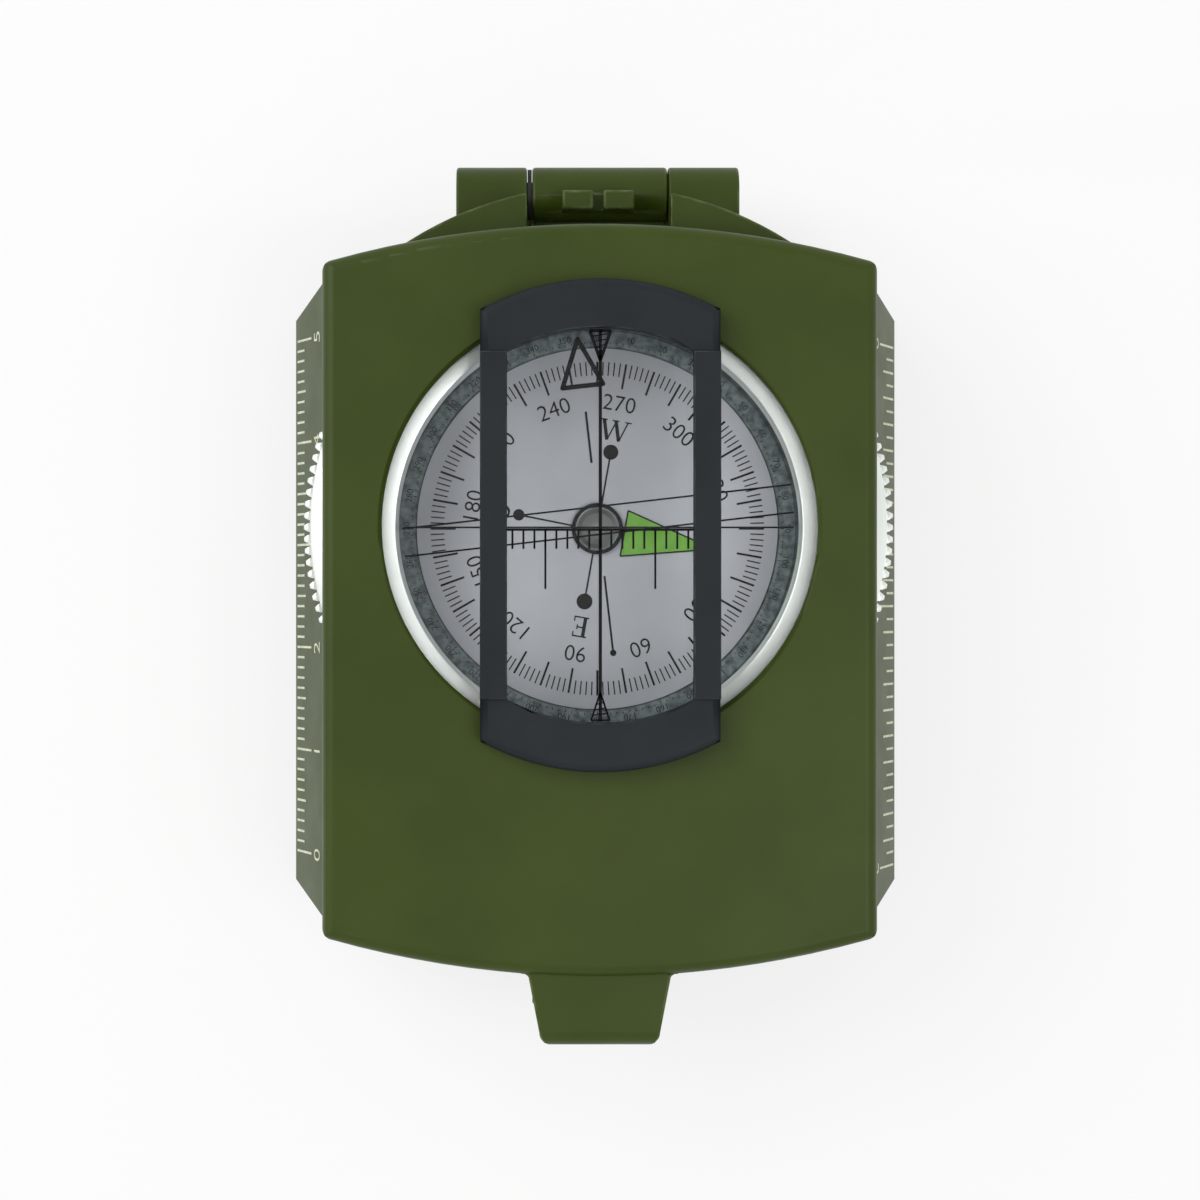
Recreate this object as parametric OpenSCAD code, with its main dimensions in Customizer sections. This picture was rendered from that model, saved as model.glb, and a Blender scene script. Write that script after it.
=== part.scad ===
// Lensatic compass, lying closed on its back. Millimetres.
// X across the case, Y from the eyepiece to the hinge, Z up to the lid's outer face.

/* [Case] */
// Distance that the bezel stands out of the lid's side slots
bezel_proud = 2.1; // [1.6:0.1:2.6]
// Length of the case between the crowns of its two bowed ends
case_len = 69.2; // [68:0.4:74]
// Radius of the two bowed ends
end_arc_r = 92; // [80:1:120]
// Distance that each side slopes out, from the parting line to its ridge
side_slope = 4; // [3.4:0.2:5]
// Length of the ridges, before the housing's corners are cut back
ridge_len = 55; // [50:1:58]
// Distance from the case's ends to the inner ends of the housing's cut corners
corner_cut = 3.6; // [2.6:0.2:4.4]
// Height of the housing, from the bottom cover to the parting line
housing_h = 12; // [11.5:0.25:14]
// Height of the edge below the ridge of the sloping sides
ridge_h = 1.4; // [1:0.1:2]
// Height of the lid
lid_h = 11.6; // [11.2:0.2:14]
// Thickness of the lid's plate
lid_plate_t = 2.3; // [2.1:0.1:2.8]
// Thickness of the lid's side walls
lid_wall = 1.8; // [1.5:0.1:2.1]
// Radius of the lid's outer edge
lid_edge_r = 1.2; // [0.6:0.1:1.6]
// Radius of the lid's four upright corners
lid_corner_r = 1.3; // [0.6:0.1:1.8]
// Gap along the parting line
parting_gap = 0.12; // [0.05:0.01:0.3]
// Thickness of the housing's walls and deck
housing_wall = 2.2; // [1.8:0.1:2.6]

/* [Bottom cover] */
// Thickness of the bottom cover
cover_t = 2; // [1.8:0.1:2.4]
// Length of the bevel at each end of the cover
cover_bevel = 4; // [2:0.5:5]
// Step from the housing's outline to the cover's
cover_inset = 0.5; // [0.2:0.1:1]
// Thickness of the gasket let into the cover's joint
gasket_t = 0.5; // [0.4:0.1:0.8]
// Distance between the cover screws across the case
screw_span_x = 42; // [41:0.5:43]
// Distance between the cover screws along the case
screw_span_y = 52; // [51:0.5:53]
// Radius of a cover screw's shank
screw_r = 0.9; // [0.8:0.05:1.1]
// Length of a cover screw's shank
screw_len = 7; // [5:0.5:8]
// Radius of the tripod socket's bore, for a 1/4 inch camera screw
tripod_r = 2.6; // [2.4:0.1:3]
// Depth of the tripod socket's bore
tripod_depth = 4.8; // [4:0.1:5]

/* [Hinge] */
// Distance of the hinge pin from the crown of the case's end
hinge_out = 4; // [3.8:0.1:4.6]
// Depth of the hinge pin below the parting line
hinge_drop = 0.3; // [0.2:0.1:0.6]
// Radius of the hinge's knuckles
knuckle_r = 2.6; // [2.4:0.1:2.7]
// Distance from the middle of the hinge to the lid's knuckles
knuckle_in = 6.7; // [6:0.1:7.5]
// Length of each of the lid's knuckles
knuckle_len = 6.7; // [6:0.1:7.5]
// Radius of the hinge pin
hinge_pin_r = 1.2; // [1:0.05:1.3]
// Thickness of the friction washer in the hinge
washer_t = 0.4; // [0.3:0.05:0.6]
// Radius of the bowed shoulder that carries the lid's knuckles
shoulder_r = 33; // [31:0.5:35]
// Depth of the shoulder below the lid's face
shoulder_drop = 4.7; // [4.2:0.1:5]
// Width of the rear sight's block
notch_block_w = 6.8; // [6:0.2:8]
// Height of the rear sight above the parting line
notch_block_h = 4.5; // [3.5:0.1:5]
// Width of the rear sight's notch
notch_w = 0.9; // [0.6:0.1:1.4]

/* [Lid fittings] */
// Radius of the lid's window
window_r = 20; // [19.4:0.1:20.4]
// Thickness of the window's glass
window_t = 1; // [0.8:0.1:1.1]
// Height of the slots through which the bezel is turned
slot_h = 6.6; // [6.2:0.1:7.2]
// Length of the slots through which the bezel is turned
slot_len = 34; // [31:0.5:36]
// Radius of the slots' corners at the parting line
slot_corner_r = 1; // [0.4:0.1:1.6]
// Length of the thumb tab beyond the lid's end
tab_len = 6.4; // [5:0.2:8]
// Width of the thumb tab at the lid
tab_w = 13.1; // [11:0.1:15]
// Width of the thumb tab at its end
tab_end_w = 11.1; // [9:0.1:12]
// Thickness of the thumb tab
tab_t = 2.4; // [2.3:0.1:2.8]
// Depth of the thumb tab's face below the lid's
tab_drop = 0.8; // [0.4:0.1:1.2]
// Radius of the thumb tab's end at its face
tab_nose_r = 1.5; // [1:0.1:1.6]
// Radius of the thumb tab's end at its underside
tab_heel_r = 0.7; // [0.3:0.1:0.7]
// Radius of the thumb tab's corners
tab_corner_r = 1.2; // [0.6:0.1:2]
// Radius of the fillets between the thumb tab and the lid
tab_root_r = 0.8; // [0.3:0.1:1.2]
// Radius of the sight frame's ends
sight_r = 22.5; // [22:0.1:23]
// Width of the sight frame
sight_w = 21.9; // [21:0.1:23]
// Width of the sight frame's opening
sight_opening_w = 17; // [16:0.1:17.6]
// Radius of the ends of the sight frame's opening
sight_opening_r = 18; // [17:0.1:18.6]
// Height of the sight frame's ends above the lid
sight_h = 2.4; // [2.1:0.1:3]
// Height of the raised bars above the sight frame's ends
sight_rise = 0.5; // [0.3:0.1:0.8]
// Height of the gap under the sight frame's bars
sight_gap = 0.6; // [0.4:0.1:0.7]
// Thickness of the sight pane
pane_t = 0.6; // [0.4:0.1:0.8]

/* [Bezel] */
// Thickness of the bezel's wall, over its knurl
bezel_wall = 4.2; // [3.8:0.1:4.5]
// Number of ridges on the bezel
knurl_count = 156; // [120:4:180]
// Depth of the knurl
knurl_depth = 0.5; // [0.3:0.05:0.7]
// Height of the knurl
knurl_h = 4; // [3.6:0.1:4.2]
// Height of the smooth band below the knurl
bezel_skirt_h = 0.9; // [0.6:0.1:1.1]
// Height of the bezel's cone above the knurl
bezel_cone_h = 2.4; // [2.2:0.1:2.6]
// Height of the cone's swelling over a straight slope
bezel_swell = 0.2; // [0.1:0.05:0.2]
// Overlap of the bezel's inner lip on its glass
bezel_lip_w = 1.8; // [1.4:0.1:2.2]
// Thickness of the bezel's glass
bezel_glass_t = 1.2; // [0.8:0.1:1.3]
// Thickness of the housing's collar that the bezel turns on
collar_wall = 2.8; // [2.4:0.1:3.2]
// Height of the collar above the deck
collar_h = 4.5; // [4.3:0.1:4.6]
// Running gap between the collar and the bezel
bezel_gap = 0.08; // [0.04:0.01:0.1]
// Thickness of the snap ring that holds the bezel down
snap_t = 0.7; // [0.5:0.05:0.9]

/* [Capsule] */
// Thickness of the cup's wall
cup_wall = 1.6; // [1.4:0.1:1.7]
// Thickness of the cup's floor
cup_floor_t = 1.2; // [0.8:0.1:1.3]
// Depth of the cup's floor below the parting line
cup_depth = 7; // [6.6:0.1:7.2]
// Thickness of the capsule's crystal
crystal_t = 1.2; // [0.8:0.1:1.4]
// Radius of the compass card
card_r = 17; // [16:0.1:18]
// Width of the grey ring round the card
ring_w = 1.6; // [1.3:0.1:2]
// Depth of the card's face below the parting line
card_drop = 1; // [0.6:0.1:1.2]
// Thickness of the card
card_t = 0.5; // [0.4:0.1:0.7]
// Height of the card's rim, which carries the scale that the eyepiece reads
card_rim_h = 4.5; // [4:0.1:5]
// Angle that the card has turned from its north to the hinge
card_turn = -100; // [-180:5:180]
// Length of the north marker
marker_len = 6.9; // [5:0.1:9]
// Width of the north marker at its foot
marker_w = 4.4; // [3:0.1:6]
// Length of a card magnet
magnet_len = 18; // [14:0.5:22]
// Radius of the hub's cap
cap_r = 2.5; // [2:0.1:3]
// Radius of the pivot's shaft
pivot_r = 0.5; // [0.4:0.05:0.7]

/* [Eyepiece] */
// Height of the eyepiece's axis below the parting line
eyepiece_drop = 4.2; // [4:0.1:4.6]
// Radius of the focus ring
focus_r = 6.3; // [5.8:0.1:6.6]
// Length of the focus ring
focus_len = 4.7; // [4.5:0.1:6]
// Number of flutes round the focus ring
flute_count = 36; // [24:2:48]
// Gap between the case and the focus ring
focus_gap = 0.3; // [0.2:0.05:0.6]
// Radius of the bushing, on whose thread the focus ring turns
thread_r = 3.7; // [3.5:0.05:3.8]
// Radius of the sliding tube behind the lens
cell_r = 2.9; // [2.7:0.05:3]
// Length of the lens cell
cell_len = 12.4; // [11:0.2:13]
// Radius of the lens
lens_r = 4; // [3.6:0.1:4.3]
// Thickness of the lens at its centre
lens_t = 1.4; // [1.2:0.1:1.5]
// Running gap between the parts of the eyepiece
focus_fit = 0.05; // [0.03:0.01:0.08]

/* [Finger loop] */
// Width over the loop's arms
loop_w = 25; // [24.6:0.2:28]
// Thickness of the loop's arms
loop_arm_t = 1.35; // [1:0.05:1.4]
// Reach of the loop under the case, from its pivot
loop_reach = 20; // [18:0.5:22]
// Distance of the loop's pivot from the crown of the case's end
loop_out = 3.5; // [3.2:0.1:3.6]
// Depth of the loop's pivot below the parting line
loop_drop = 8.4; // [8.3:0.1:8.8]
// Radius of the eye at the loop's pivot
loop_eye_r = 1.75; // [1.6:0.05:1.8]
// Thickness of the loop's tip
loop_tip_t = 1.6; // [1.2:0.1:1.7]
// Distance from the loop's tip to the bottom cover
loop_lift = 0.5; // [0.45:0.05:0.8]
// Width of the loop's opening
loop_hole_w = 16; // [14:0.5:18]
// Radius of the bend between the loop's arms and its plate
loop_bend_r = 2; // [1:0.1:2.4]
// Radius of a loop rivet's shank
rivet_r = 0.9; // [0.8:0.05:1]
// Radius of a loop rivet's head
rivet_head_r = 1.35; // [1.2:0.05:1.5]

/* [Hidden] */
$fn = 96;
eps = 0.01;
fit = 0.05; // running clearance of pins in their bores
seat = 0.02; // clearance of pieces that are fixed in each other
soft_gap = 0.3; // clearance between curved faces of different pieces

// Heights, from the loop's resting tip upwards
cover_z = loop_tip_t + loop_lift;
housing_z = cover_z + cover_t;
parting_z = housing_z + housing_h;
lid_z = parting_z + parting_gap;
face_z = parting_z + lid_h;
lid_ceiling_z = face_z - lid_plate_t;
ridge_z = housing_z + ridge_h;
deck_z = parting_z - housing_wall;

// Dial, from the card outwards
cup_bore_r = card_r + soft_gap + ring_w;
cup_r = cup_bore_r + cup_wall;
well_r = cup_r + 0.1;
collar_r = well_r + collar_wall;
bezel_r = collar_r + bezel_wall;
bezel_clear_r = bezel_r + 0.4;

// Plan
lid_w = 2 * (bezel_r - bezel_proud);
ridge_w = lid_w + 2 * side_slope;
end_y = case_len / 2;
dial_y = end_y + 0.2 - bezel_clear_r;
hinge_y = end_y + hinge_out;
hinge_z = parting_z - hinge_drop;
shoulder_z = face_z - shoulder_drop;
shoulder_root = 6;
shoulder_foot_z = hinge_z + knuckle_r - 1;
hinge_cut_w = 2 * knuckle_in;
hinge_cut_top = shoulder_z + 0.2;
knuckle_out = knuckle_in + knuckle_len;
hinge_bore_r = hinge_pin_r + fit;
block_right = knuckle_in - 0.1;
block_left = -knuckle_in + washer_t + 2 * fit;
block_out = knuckle_r - 0.1;
block_root = 3;
notch_front = 1.9;
notch_back = 0.1;
notch_depth = 1.7;

// Lid window and sight
rebate_r = window_r + 1;
rebate_z = face_z - 0.9;
retainer_h = 0.7;
sight_z = face_z;
sight_span = 27.6;
sight_raised_len = 31.6;
sight_edge_r = 0.8;
sight_bar_w = (sight_w - sight_opening_w) / 2;
pane_z = sight_z + (sight_gap + sight_h - pane_t) / 2;
pane_lap = 0.6;

// Bezel
bezel_z = parting_z + 0.2;
knurl_z = bezel_z + bezel_skirt_h;
cone_z = knurl_z + knurl_h;
bezel_top_z = cone_z + bezel_cone_h;
bezel_bore_r = collar_r + bezel_gap;
bezel_lip_t = 0.9;
bezel_glass_r = cup_r - 0.1;
bezel_lip_r = bezel_glass_r - bezel_lip_w;
bezel_top_r = bezel_glass_r + 0.6;
bezel_glass_z = bezel_top_z - bezel_lip_t - bezel_glass_t;
collar_top_z = parting_z + collar_h;
snap_z = parting_z + 2;
snap_in_r = collar_r - 0.45;
snap_out_r = collar_r + 0.5;
snap_play = 0.05;

// Capsule
well_wall = 1.8;
cup_floor_z = parting_z - cup_depth;
cup_bottom_z = cup_floor_z - cup_floor_t;
ledge_t = 1.3;
ledge_r = cup_r - 1.5;
crystal_r = cup_r - 0.65;
capsule_gasket_t = 0.3;
crystal_z = collar_top_z - crystal_t;
cup_step_z = crystal_z - capsule_gasket_t;
ring_shelf_r = card_r + 0.6;
ring_z = parting_z - 1.6;
ring_t = 0.7;
card_z = parting_z - card_drop - card_t;
jewel_r = 1.4;
jewel_len = 2.4;
jewel_flange_r = 2.2;
jewel_flange_t = 0.4;
jewel_z = card_z + card_t - jewel_len;
jewel_mouth_r = 1.1;
jewel_seat_r = 0.13;
jewel_bore_h = jewel_len - 0.4;
pivot_foot_r = 1.6;
pivot_foot_t = 0.6;
pivot_cone_h = 1.2;
pivot_tip_z = jewel_z + jewel_bore_h - 0.08;
magnet_w = 2.4;
magnet_h = 1.5;
magnet_y = 4;
marker_t = 0.15;
cap_h = 0.9;

// Eyepiece, along -Y from the case's end
eyepiece_z = parting_z - eyepiece_drop;
focus_back_y = -end_y - focus_gap;
focus_front_y = focus_back_y - focus_len;
bushing_len = 10.6;
cell_wall = 0.5;
focus_lip_t = 0.5;
head_r = lens_r + 0.7;
head_front_y = focus_front_y + focus_lip_t + focus_fit;
head_len = 2.2;
head_back_y = head_front_y + head_len;
bushing_front_y = head_back_y + 0.25;
retainer_t = 0.4;
retainer_w = 0.5;
lens_front_y = head_front_y + retainer_t;
lens_back_y = lens_front_y + lens_t;
lens_face_r = 12;
flute_r = 0.22;
focus_chamfer = 0.5;
eyepiece_boss_r = thread_r + 1.4;

// Fasteners
screw_head_r = 2 * screw_r;
screw_head_h = 1.2;
screw_recess = 0.7;
screw_boss_r = screw_r + 1.7;
insert_r = tripod_r + 1.35;
insert_flange_r = insert_r + 1.5;
insert_flange_t = 1.1;
insert_top_z = cover_z + tripod_depth + 0.6;

// Finger loop
loop_y = end_y + loop_out;
loop_pivot_z = parting_z - loop_drop;
loop_arm_x = loop_w / 2 - loop_arm_t;
lug_x = loop_arm_x - 0.15;
lug_r = loop_eye_r - 0.35;
loop_back_y = loop_y + loop_eye_r;
loop_tip_y = loop_y - loop_reach;
loop_knee_y = end_y - cover_bevel;
loop_root_t = 1.3;
loop_root_z = 1.4;
loop_tip_w = 4;
loop_root_w = 5.5;
loop_hole_start = loop_tip_y + loop_tip_w;
loop_hole_end = loop_back_y - loop_root_w;
loop_hole_r = 2;
loop_corner_r = 4;
rivet_head_h = 0.8;
rivet_depth = 3;

// Half the width of the housing's sloping sides at a height, drawn in by a wall
function side_half(z, inset) =
    lid_w / 2 + (ridge_w - lid_w) / 2 * (parting_z - z) / (parting_z - ridge_z) - inset;

// Distance that a bowed end falls back from its crown at a distance from the middle
function bow(x) = end_arc_r - sqrt(end_arc_r * end_arc_r - x * x);

// Outline with two straight sides and two bowed ends
module bowed_outline(half_w, half_len) {
    intersection() {
        square([2 * half_w, 2 * half_len + 2], center = true);
        translate([0, half_len - end_arc_r]) circle(r = end_arc_r);
        translate([0, end_arc_r - half_len]) circle(r = end_arc_r);
    }
}

// Outline of the housing at its ridges: bowed ends, with corners cut back
module housing_outline(inset) {
    half = ridge_w / 2 - inset;
    corner_x = lid_w / 2 + 0.1 - inset;
    corner_y = end_y - corner_cut - inset * 0.4;
    ridge_y = ridge_len / 2 - inset * 0.4;
    intersection() {
        polygon([
            [half, -ridge_y], [half, ridge_y], [corner_x, corner_y], [corner_x, end_y + 1],
            [-corner_x, end_y + 1], [-corner_x, corner_y], [-half, ridge_y], [-half, -ridge_y],
            [-corner_x, -corner_y], [-corner_x, -end_y - 1], [corner_x, -end_y - 1], [corner_x, -corner_y]
        ]);
        bowed_outline(half + 1, end_y - inset);
    }
}

// Profile with rounded upper corners, symmetrical about the upright axis
module crowned_profile(half_w, h, edge) {
    translate([-half_w, 0]) square([2 * half_w, h - edge]);
    translate([edge - half_w, 0]) square([2 * (half_w - edge), h]);
    for (side = [-1, 1]) translate([side * (half_w - edge), h - edge]) circle(r = edge);
}

// Disc with a rounded upper edge
module crowned_disc(r, h, edge) {
    rotate_extrude() intersection() {
        crowned_profile(r, h, edge);
        square([r + 1, h + 1]);
    }
}

// Extrudes a profile drawn in X and Z along Y, from y0 to y1
module along_y(y0, y1) {
    translate([0, y1, 0]) rotate([90, 0, 0]) linear_extrude(y1 - y0) children();
}

// Extrudes a profile drawn in Y and Z along X, from x0 to x1
module along_x(x0, x1) {
    translate([x0, 0, 0]) rotate([90, 0, 90]) linear_extrude(x1 - x0) children();
}

// Round bar along X through the point (y, z)
module bar_x(r, x0, x1, y, z) {
    translate([x0, y, z]) rotate([0, 90, 0]) cylinder(r = r, h = x1 - x0);
}

// Round bar along Y, on the eyepiece's axis
module bar_y(r, y0, y1) {
    translate([0, y1, eyepiece_z]) rotate([90, 0, 0]) cylinder(r = r, h = y1 - y0);
}

// Upright cylinder on the dial's centre
module dial_disc(r, z0, z1) {
    translate([0, dial_y, z0]) cylinder(r = r, h = z1 - z0);
}

// Upright ring on the dial's centre
module dial_ring(r_out, r_in, z0, z1) {
    difference() {
        dial_disc(r_out, z0, z1);
        dial_disc(r_in, z0 - 1, z1 + 1);
    }
}

module at_screws() {
    for (x = [-1, 1], y = [-1, 1])
        translate([x * screw_span_x / 2, y * screw_span_y / 2, 0]) children();
}

// The housing's body, drawn in by a wall all round
module housing_form(inset, z0, z1) {
    intersection() {
        translate([0, 0, z0]) linear_extrude(z1 - z0) housing_outline(inset);
        along_y(-end_y - 1, end_y + 1) polygon([
            [-side_half(parting_z, inset), parting_z], [side_half(parting_z, inset), parting_z],
            [side_half(ridge_z, inset), ridge_z], [side_half(ridge_z, inset) - 0.7, housing_z],
            [0.7 - side_half(ridge_z, inset), housing_z], [-side_half(ridge_z, inset), ridge_z]
        ]);
    }
}

// Middle knuckle, the block that carries it, and the lugs of the finger loop
module housing_hinge() {
    along_x(block_left, block_right) union() {
        translate([hinge_y, hinge_z]) circle(r = knuckle_r);
        translate([end_y - block_root, housing_z])
            square([hinge_y + block_out - end_y + block_root, hinge_z - housing_z]);
    }
    along_x(-lug_x, lug_x) union() {
        translate([loop_y, loop_pivot_z]) circle(r = lug_r);
        translate([end_y - block_root, loop_pivot_z - lug_r])
            square([loop_y - end_y + block_root, 2 * lug_r]);
    }
    difference() {
        translate([-notch_block_w / 2, hinge_y - notch_front, hinge_z])
            cube([notch_block_w, notch_front - notch_back, parting_z + notch_block_h - hinge_z]);
        translate([-notch_w / 2, hinge_y - notch_front - 1, parting_z + notch_block_h - notch_depth])
            cube([notch_w, notch_front + 2, notch_depth + 1]);
    }
}

module base_housing() {
    color([0.30, 0.36, 0.18]) difference() {
        union() {
            difference() {
                housing_form(0, housing_z, parting_z);
                housing_form(housing_wall, housing_z - eps, deck_z);
            }
            intersection() {
                housing_form(housing_wall / 2, housing_z, parting_z);
                union() {
                    dial_disc(well_r + well_wall, cup_bottom_z - ledge_t, parting_z);
                    at_screws() translate([0, 0, housing_z]) cylinder(r = screw_boss_r, h = deck_z + 1 - housing_z);
                    bar_y(eyepiece_boss_r, -end_y, -end_y + bushing_len + 1);
                }
            }
            dial_disc(collar_r, parting_z - 1, collar_top_z);
            housing_hinge();
        }
        dial_disc(well_r, cup_bottom_z, collar_top_z + 1);
        dial_disc(ledge_r, housing_z, cup_bottom_z + 1);
        dial_ring(collar_r + 1, snap_in_r, snap_z, snap_z + snap_t);
        at_screws() translate([0, 0, housing_z - 1]) cylinder(r = screw_r + seat, h = screw_len + 2);
        bar_x(hinge_pin_r + seat, -knuckle_in, knuckle_in, hinge_y, hinge_z);
        for (side = [-1, 1])
            bar_x(rivet_r + seat, side * lug_x - rivet_depth, side * lug_x + rivet_depth, loop_y, loop_pivot_z);
        bar_y(thread_r + seat, -end_y - 1, -end_y + bushing_len + 2);
        bar_y(cell_r, -end_y, dial_y - cup_r);
    }
}

// The cover's form: flat outside, with long bevels at the two ends
module cover_form() {
    intersection() {
        translate([0, 0, cover_z]) linear_extrude(cover_t) housing_outline(cover_inset);
        along_x(-ridge_w, ridge_w) polygon([
            [-end_y, housing_z], [end_y, housing_z],
            [end_y - cover_bevel, cover_z], [cover_bevel - end_y, cover_z]
        ]);
        along_y(-end_y, end_y) polygon([
            [-ridge_w / 2 + cover_inset, housing_z], [ridge_w / 2 - cover_inset, housing_z],
            [ridge_w / 2 - cover_inset - 0.8, cover_z], [0.8 + cover_inset - ridge_w / 2, cover_z]
        ]);
    }
}

// Outline of the groove for the cover's gasket
module gasket_outline(inset) {
    bowed_outline(lid_w / 2 - 0.4 - inset, end_y - 1.2 - inset);
}

module bottom_cover() {
    color([0.17, 0.19, 0.21]) difference() {
        cover_form();
        translate([0, 0, housing_z - gasket_t]) linear_extrude(gasket_t + 1) difference() {
            gasket_outline(0);
            gasket_outline(1);
        }
        translate([0, 0, cover_z - 1]) cylinder(r = insert_r + seat, h = cover_t + 2);
        at_screws() translate([0, 0, cover_z - 1]) {
            cylinder(r = screw_r + 0.1, h = cover_t + 2);
            cylinder(r = screw_head_r + 0.1, h = screw_head_h + 1.1);
        }
    }
}

module cover_gasket() {
    color([0.08, 0.08, 0.08]) translate([0, 0, housing_z - gasket_t]) linear_extrude(gasket_t) difference() {
        gasket_outline(seat);
        gasket_outline(1 - seat);
    }
}

module cover_screws() {
    color([0.55, 0.56, 0.58]) at_screws() difference() {
        translate([0, 0, cover_z + 0.1]) union() {
            cylinder(r = screw_head_r, h = screw_head_h);
            cylinder(r = screw_r, h = screw_len);
        }
        for (turn = [0, 90]) translate([0, 0, cover_z]) rotate(turn)
            cube([screw_head_r * 1.3, 0.35, 2 * screw_recess], center = true);
    }
}

module tripod_insert() {
    color([0.75, 0.62, 0.32]) difference() {
        union() {
            translate([0, 0, cover_z]) cylinder(r = insert_r, h = insert_top_z - cover_z);
            translate([0, 0, housing_z + seat]) cylinder(r = insert_flange_r, h = insert_flange_t);
        }
        translate([0, 0, cover_z - 1]) cylinder(r = tripod_r, h = tripod_depth + 1);
    }
}

module capsule_cup() {
    color([0.85, 0.87, 0.88, 0.5]) difference() {
        dial_disc(cup_r, cup_bottom_z + seat, collar_top_z);
        dial_disc(ring_shelf_r, cup_floor_z, collar_top_z + 1);
        dial_disc(cup_bore_r, ring_z, collar_top_z + 1);
        dial_disc(crystal_r + seat, cup_step_z, collar_top_z + 1);
    }
}

module capsule_gasket() {
    color([0.08, 0.08, 0.08]) dial_ring(crystal_r - seat, cup_bore_r + seat, cup_step_z, crystal_z);
}

module capsule_crystal() {
    color([0.85, 0.92, 0.95, 0.3]) dial_disc(crystal_r, crystal_z, collar_top_z);
}

// Grey ring round the card, bevelled towards it
module scale_ring() {
    color([0.45, 0.48, 0.50]) difference() {
        dial_ring(cup_bore_r - seat, card_r + soft_gap, ring_z, ring_z + ring_t);
        translate([0, dial_y, ring_z + ring_t - 0.3])
            cylinder(r1 = card_r + soft_gap, r2 = card_r + soft_gap + 0.4, h = 0.3 + eps);
    }
}

module pivot_pin() {
    color([0.75, 0.75, 0.76]) union() {
        dial_disc(pivot_foot_r, cup_floor_z, cup_floor_z + pivot_foot_t);
        dial_disc(pivot_r, cup_floor_z, pivot_tip_z - pivot_cone_h);
        translate([0, dial_y, pivot_tip_z - pivot_cone_h]) cylinder(r1 = pivot_r, r2 = 0.08, h = pivot_cone_h);
    }
}

// Split ring in the collar's groove, standing into the bezel's groove
module bezel_snap_ring() {
    color([0.6, 0.6, 0.62]) difference() {
        dial_ring(snap_out_r, snap_in_r + seat, snap_z + seat, snap_z + snap_t - seat);
        translate([-1, dial_y - collar_r - 1, snap_z - 1]) cube([2, 2, snap_t + 2]);
    }
}

module hinge_pin() {
    color([0.32, 0.37, 0.20]) bar_x(hinge_pin_r, 0.3 - knuckle_out, knuckle_out - 0.3, hinge_y, hinge_z);
}

module hinge_washer() {
    color([0.5, 0.5, 0.5]) difference() {
        bar_x(knuckle_r - 0.2, fit - knuckle_in, washer_t + fit - knuckle_in, hinge_y, hinge_z);
        bar_x(hinge_bore_r, -knuckle_in - 1, 0, hinge_y, hinge_z);
    }
}

// Round-headed rivets that the finger loop swings on
module loop_rivets() {
    for (side = [-1, 1]) color([0.32, 0.38, 0.20]) mirror([side < 0 ? 1 : 0, 0, 0]) {
        bar_x(rivet_r, lug_x - rivet_depth + seat, loop_w / 2 + fit + 0.1, loop_y, loop_pivot_z);
        translate([loop_w / 2 + fit, loop_y, loop_pivot_z]) rotate([0, 90, 0])
            crowned_disc(rivet_head_r, rivet_head_h, rivet_head_h * 0.75);
    }
}

// Fixed tube with a thread for the focus ring on its outer end
module eyepiece_bushing() {
    color([0.16, 0.16, 0.17]) difference() {
        bar_y(thread_r, bushing_front_y, -end_y + bushing_len);
        bar_y(cell_r + focus_fit, bushing_front_y - 1, -end_y + bushing_len + 1);
    }
}

// Outline of the lid, with its four corners rounded
module lid_outline() {
    half = lid_w / 2;
    inner_r = end_arc_r - lid_corner_r;
    x = half - lid_corner_r;
    arc_y = end_y - end_arc_r;
    y = arc_y + sqrt(inner_r * inner_r - x * x);
    reach = (end_arc_r + 1) / inner_r;
    difference() {
        bowed_outline(half, end_y);
        for (a = [0, 1], b = [0, 1]) mirror([a, 0]) mirror([0, b]) difference() {
            polygon([[x, y], [half + 1, y], [half + 1, end_y], [x * reach, arc_y + (y - arc_y) * reach]]);
            translate([x, y]) circle(r = lid_corner_r);
        }
    }
}

// The lid's outer form, with a rounded edge all round its face
module lid_form() {
    intersection() {
        translate([0, 0, lid_z - 1]) linear_extrude(face_z - lid_z + 2) lid_outline();
        along_y(-end_y - 1, end_y + 1) translate([0, lid_z])
            crowned_profile(lid_w / 2, face_z - lid_z, lid_edge_r);
        for_end(1) crowned_disc(end_arc_r, face_z - lid_z, lid_edge_r);
        for_end(-1) crowned_disc(end_arc_r, face_z - lid_z, lid_edge_r);
    }
}

// Places a disc so that its edge is the case's bowed end
module for_end(side) {
    translate([0, side * (end_y - end_arc_r), lid_z]) children();
}

// Bowed shoulder, legs and the two outer knuckles
module lid_hinge() {
    intersection() {
        translate([0, hinge_y - shoulder_r, shoulder_foot_z])
            cylinder(r = shoulder_r, h = shoulder_z - shoulder_foot_z);
        translate([-lid_w / 2 + 1, end_y - shoulder_root, 0]) cube([lid_w - 2, hinge_out + shoulder_root, face_z]);
    }
    for (side = [-1, 1]) {
        low = side < 0 ? -knuckle_out : knuckle_in;
        bar_x(knuckle_r, low, low + knuckle_len, hinge_y, hinge_z);
        translate([low, end_y + 0.1, hinge_z - 0.2]) cube([knuckle_len, hinge_out - 0.1, knuckle_r + 0.2]);
        translate([low, end_y - 2, lid_z]) cube([knuckle_len, hinge_out, hinge_z + knuckle_r - lid_z]);
    }
}

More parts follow.
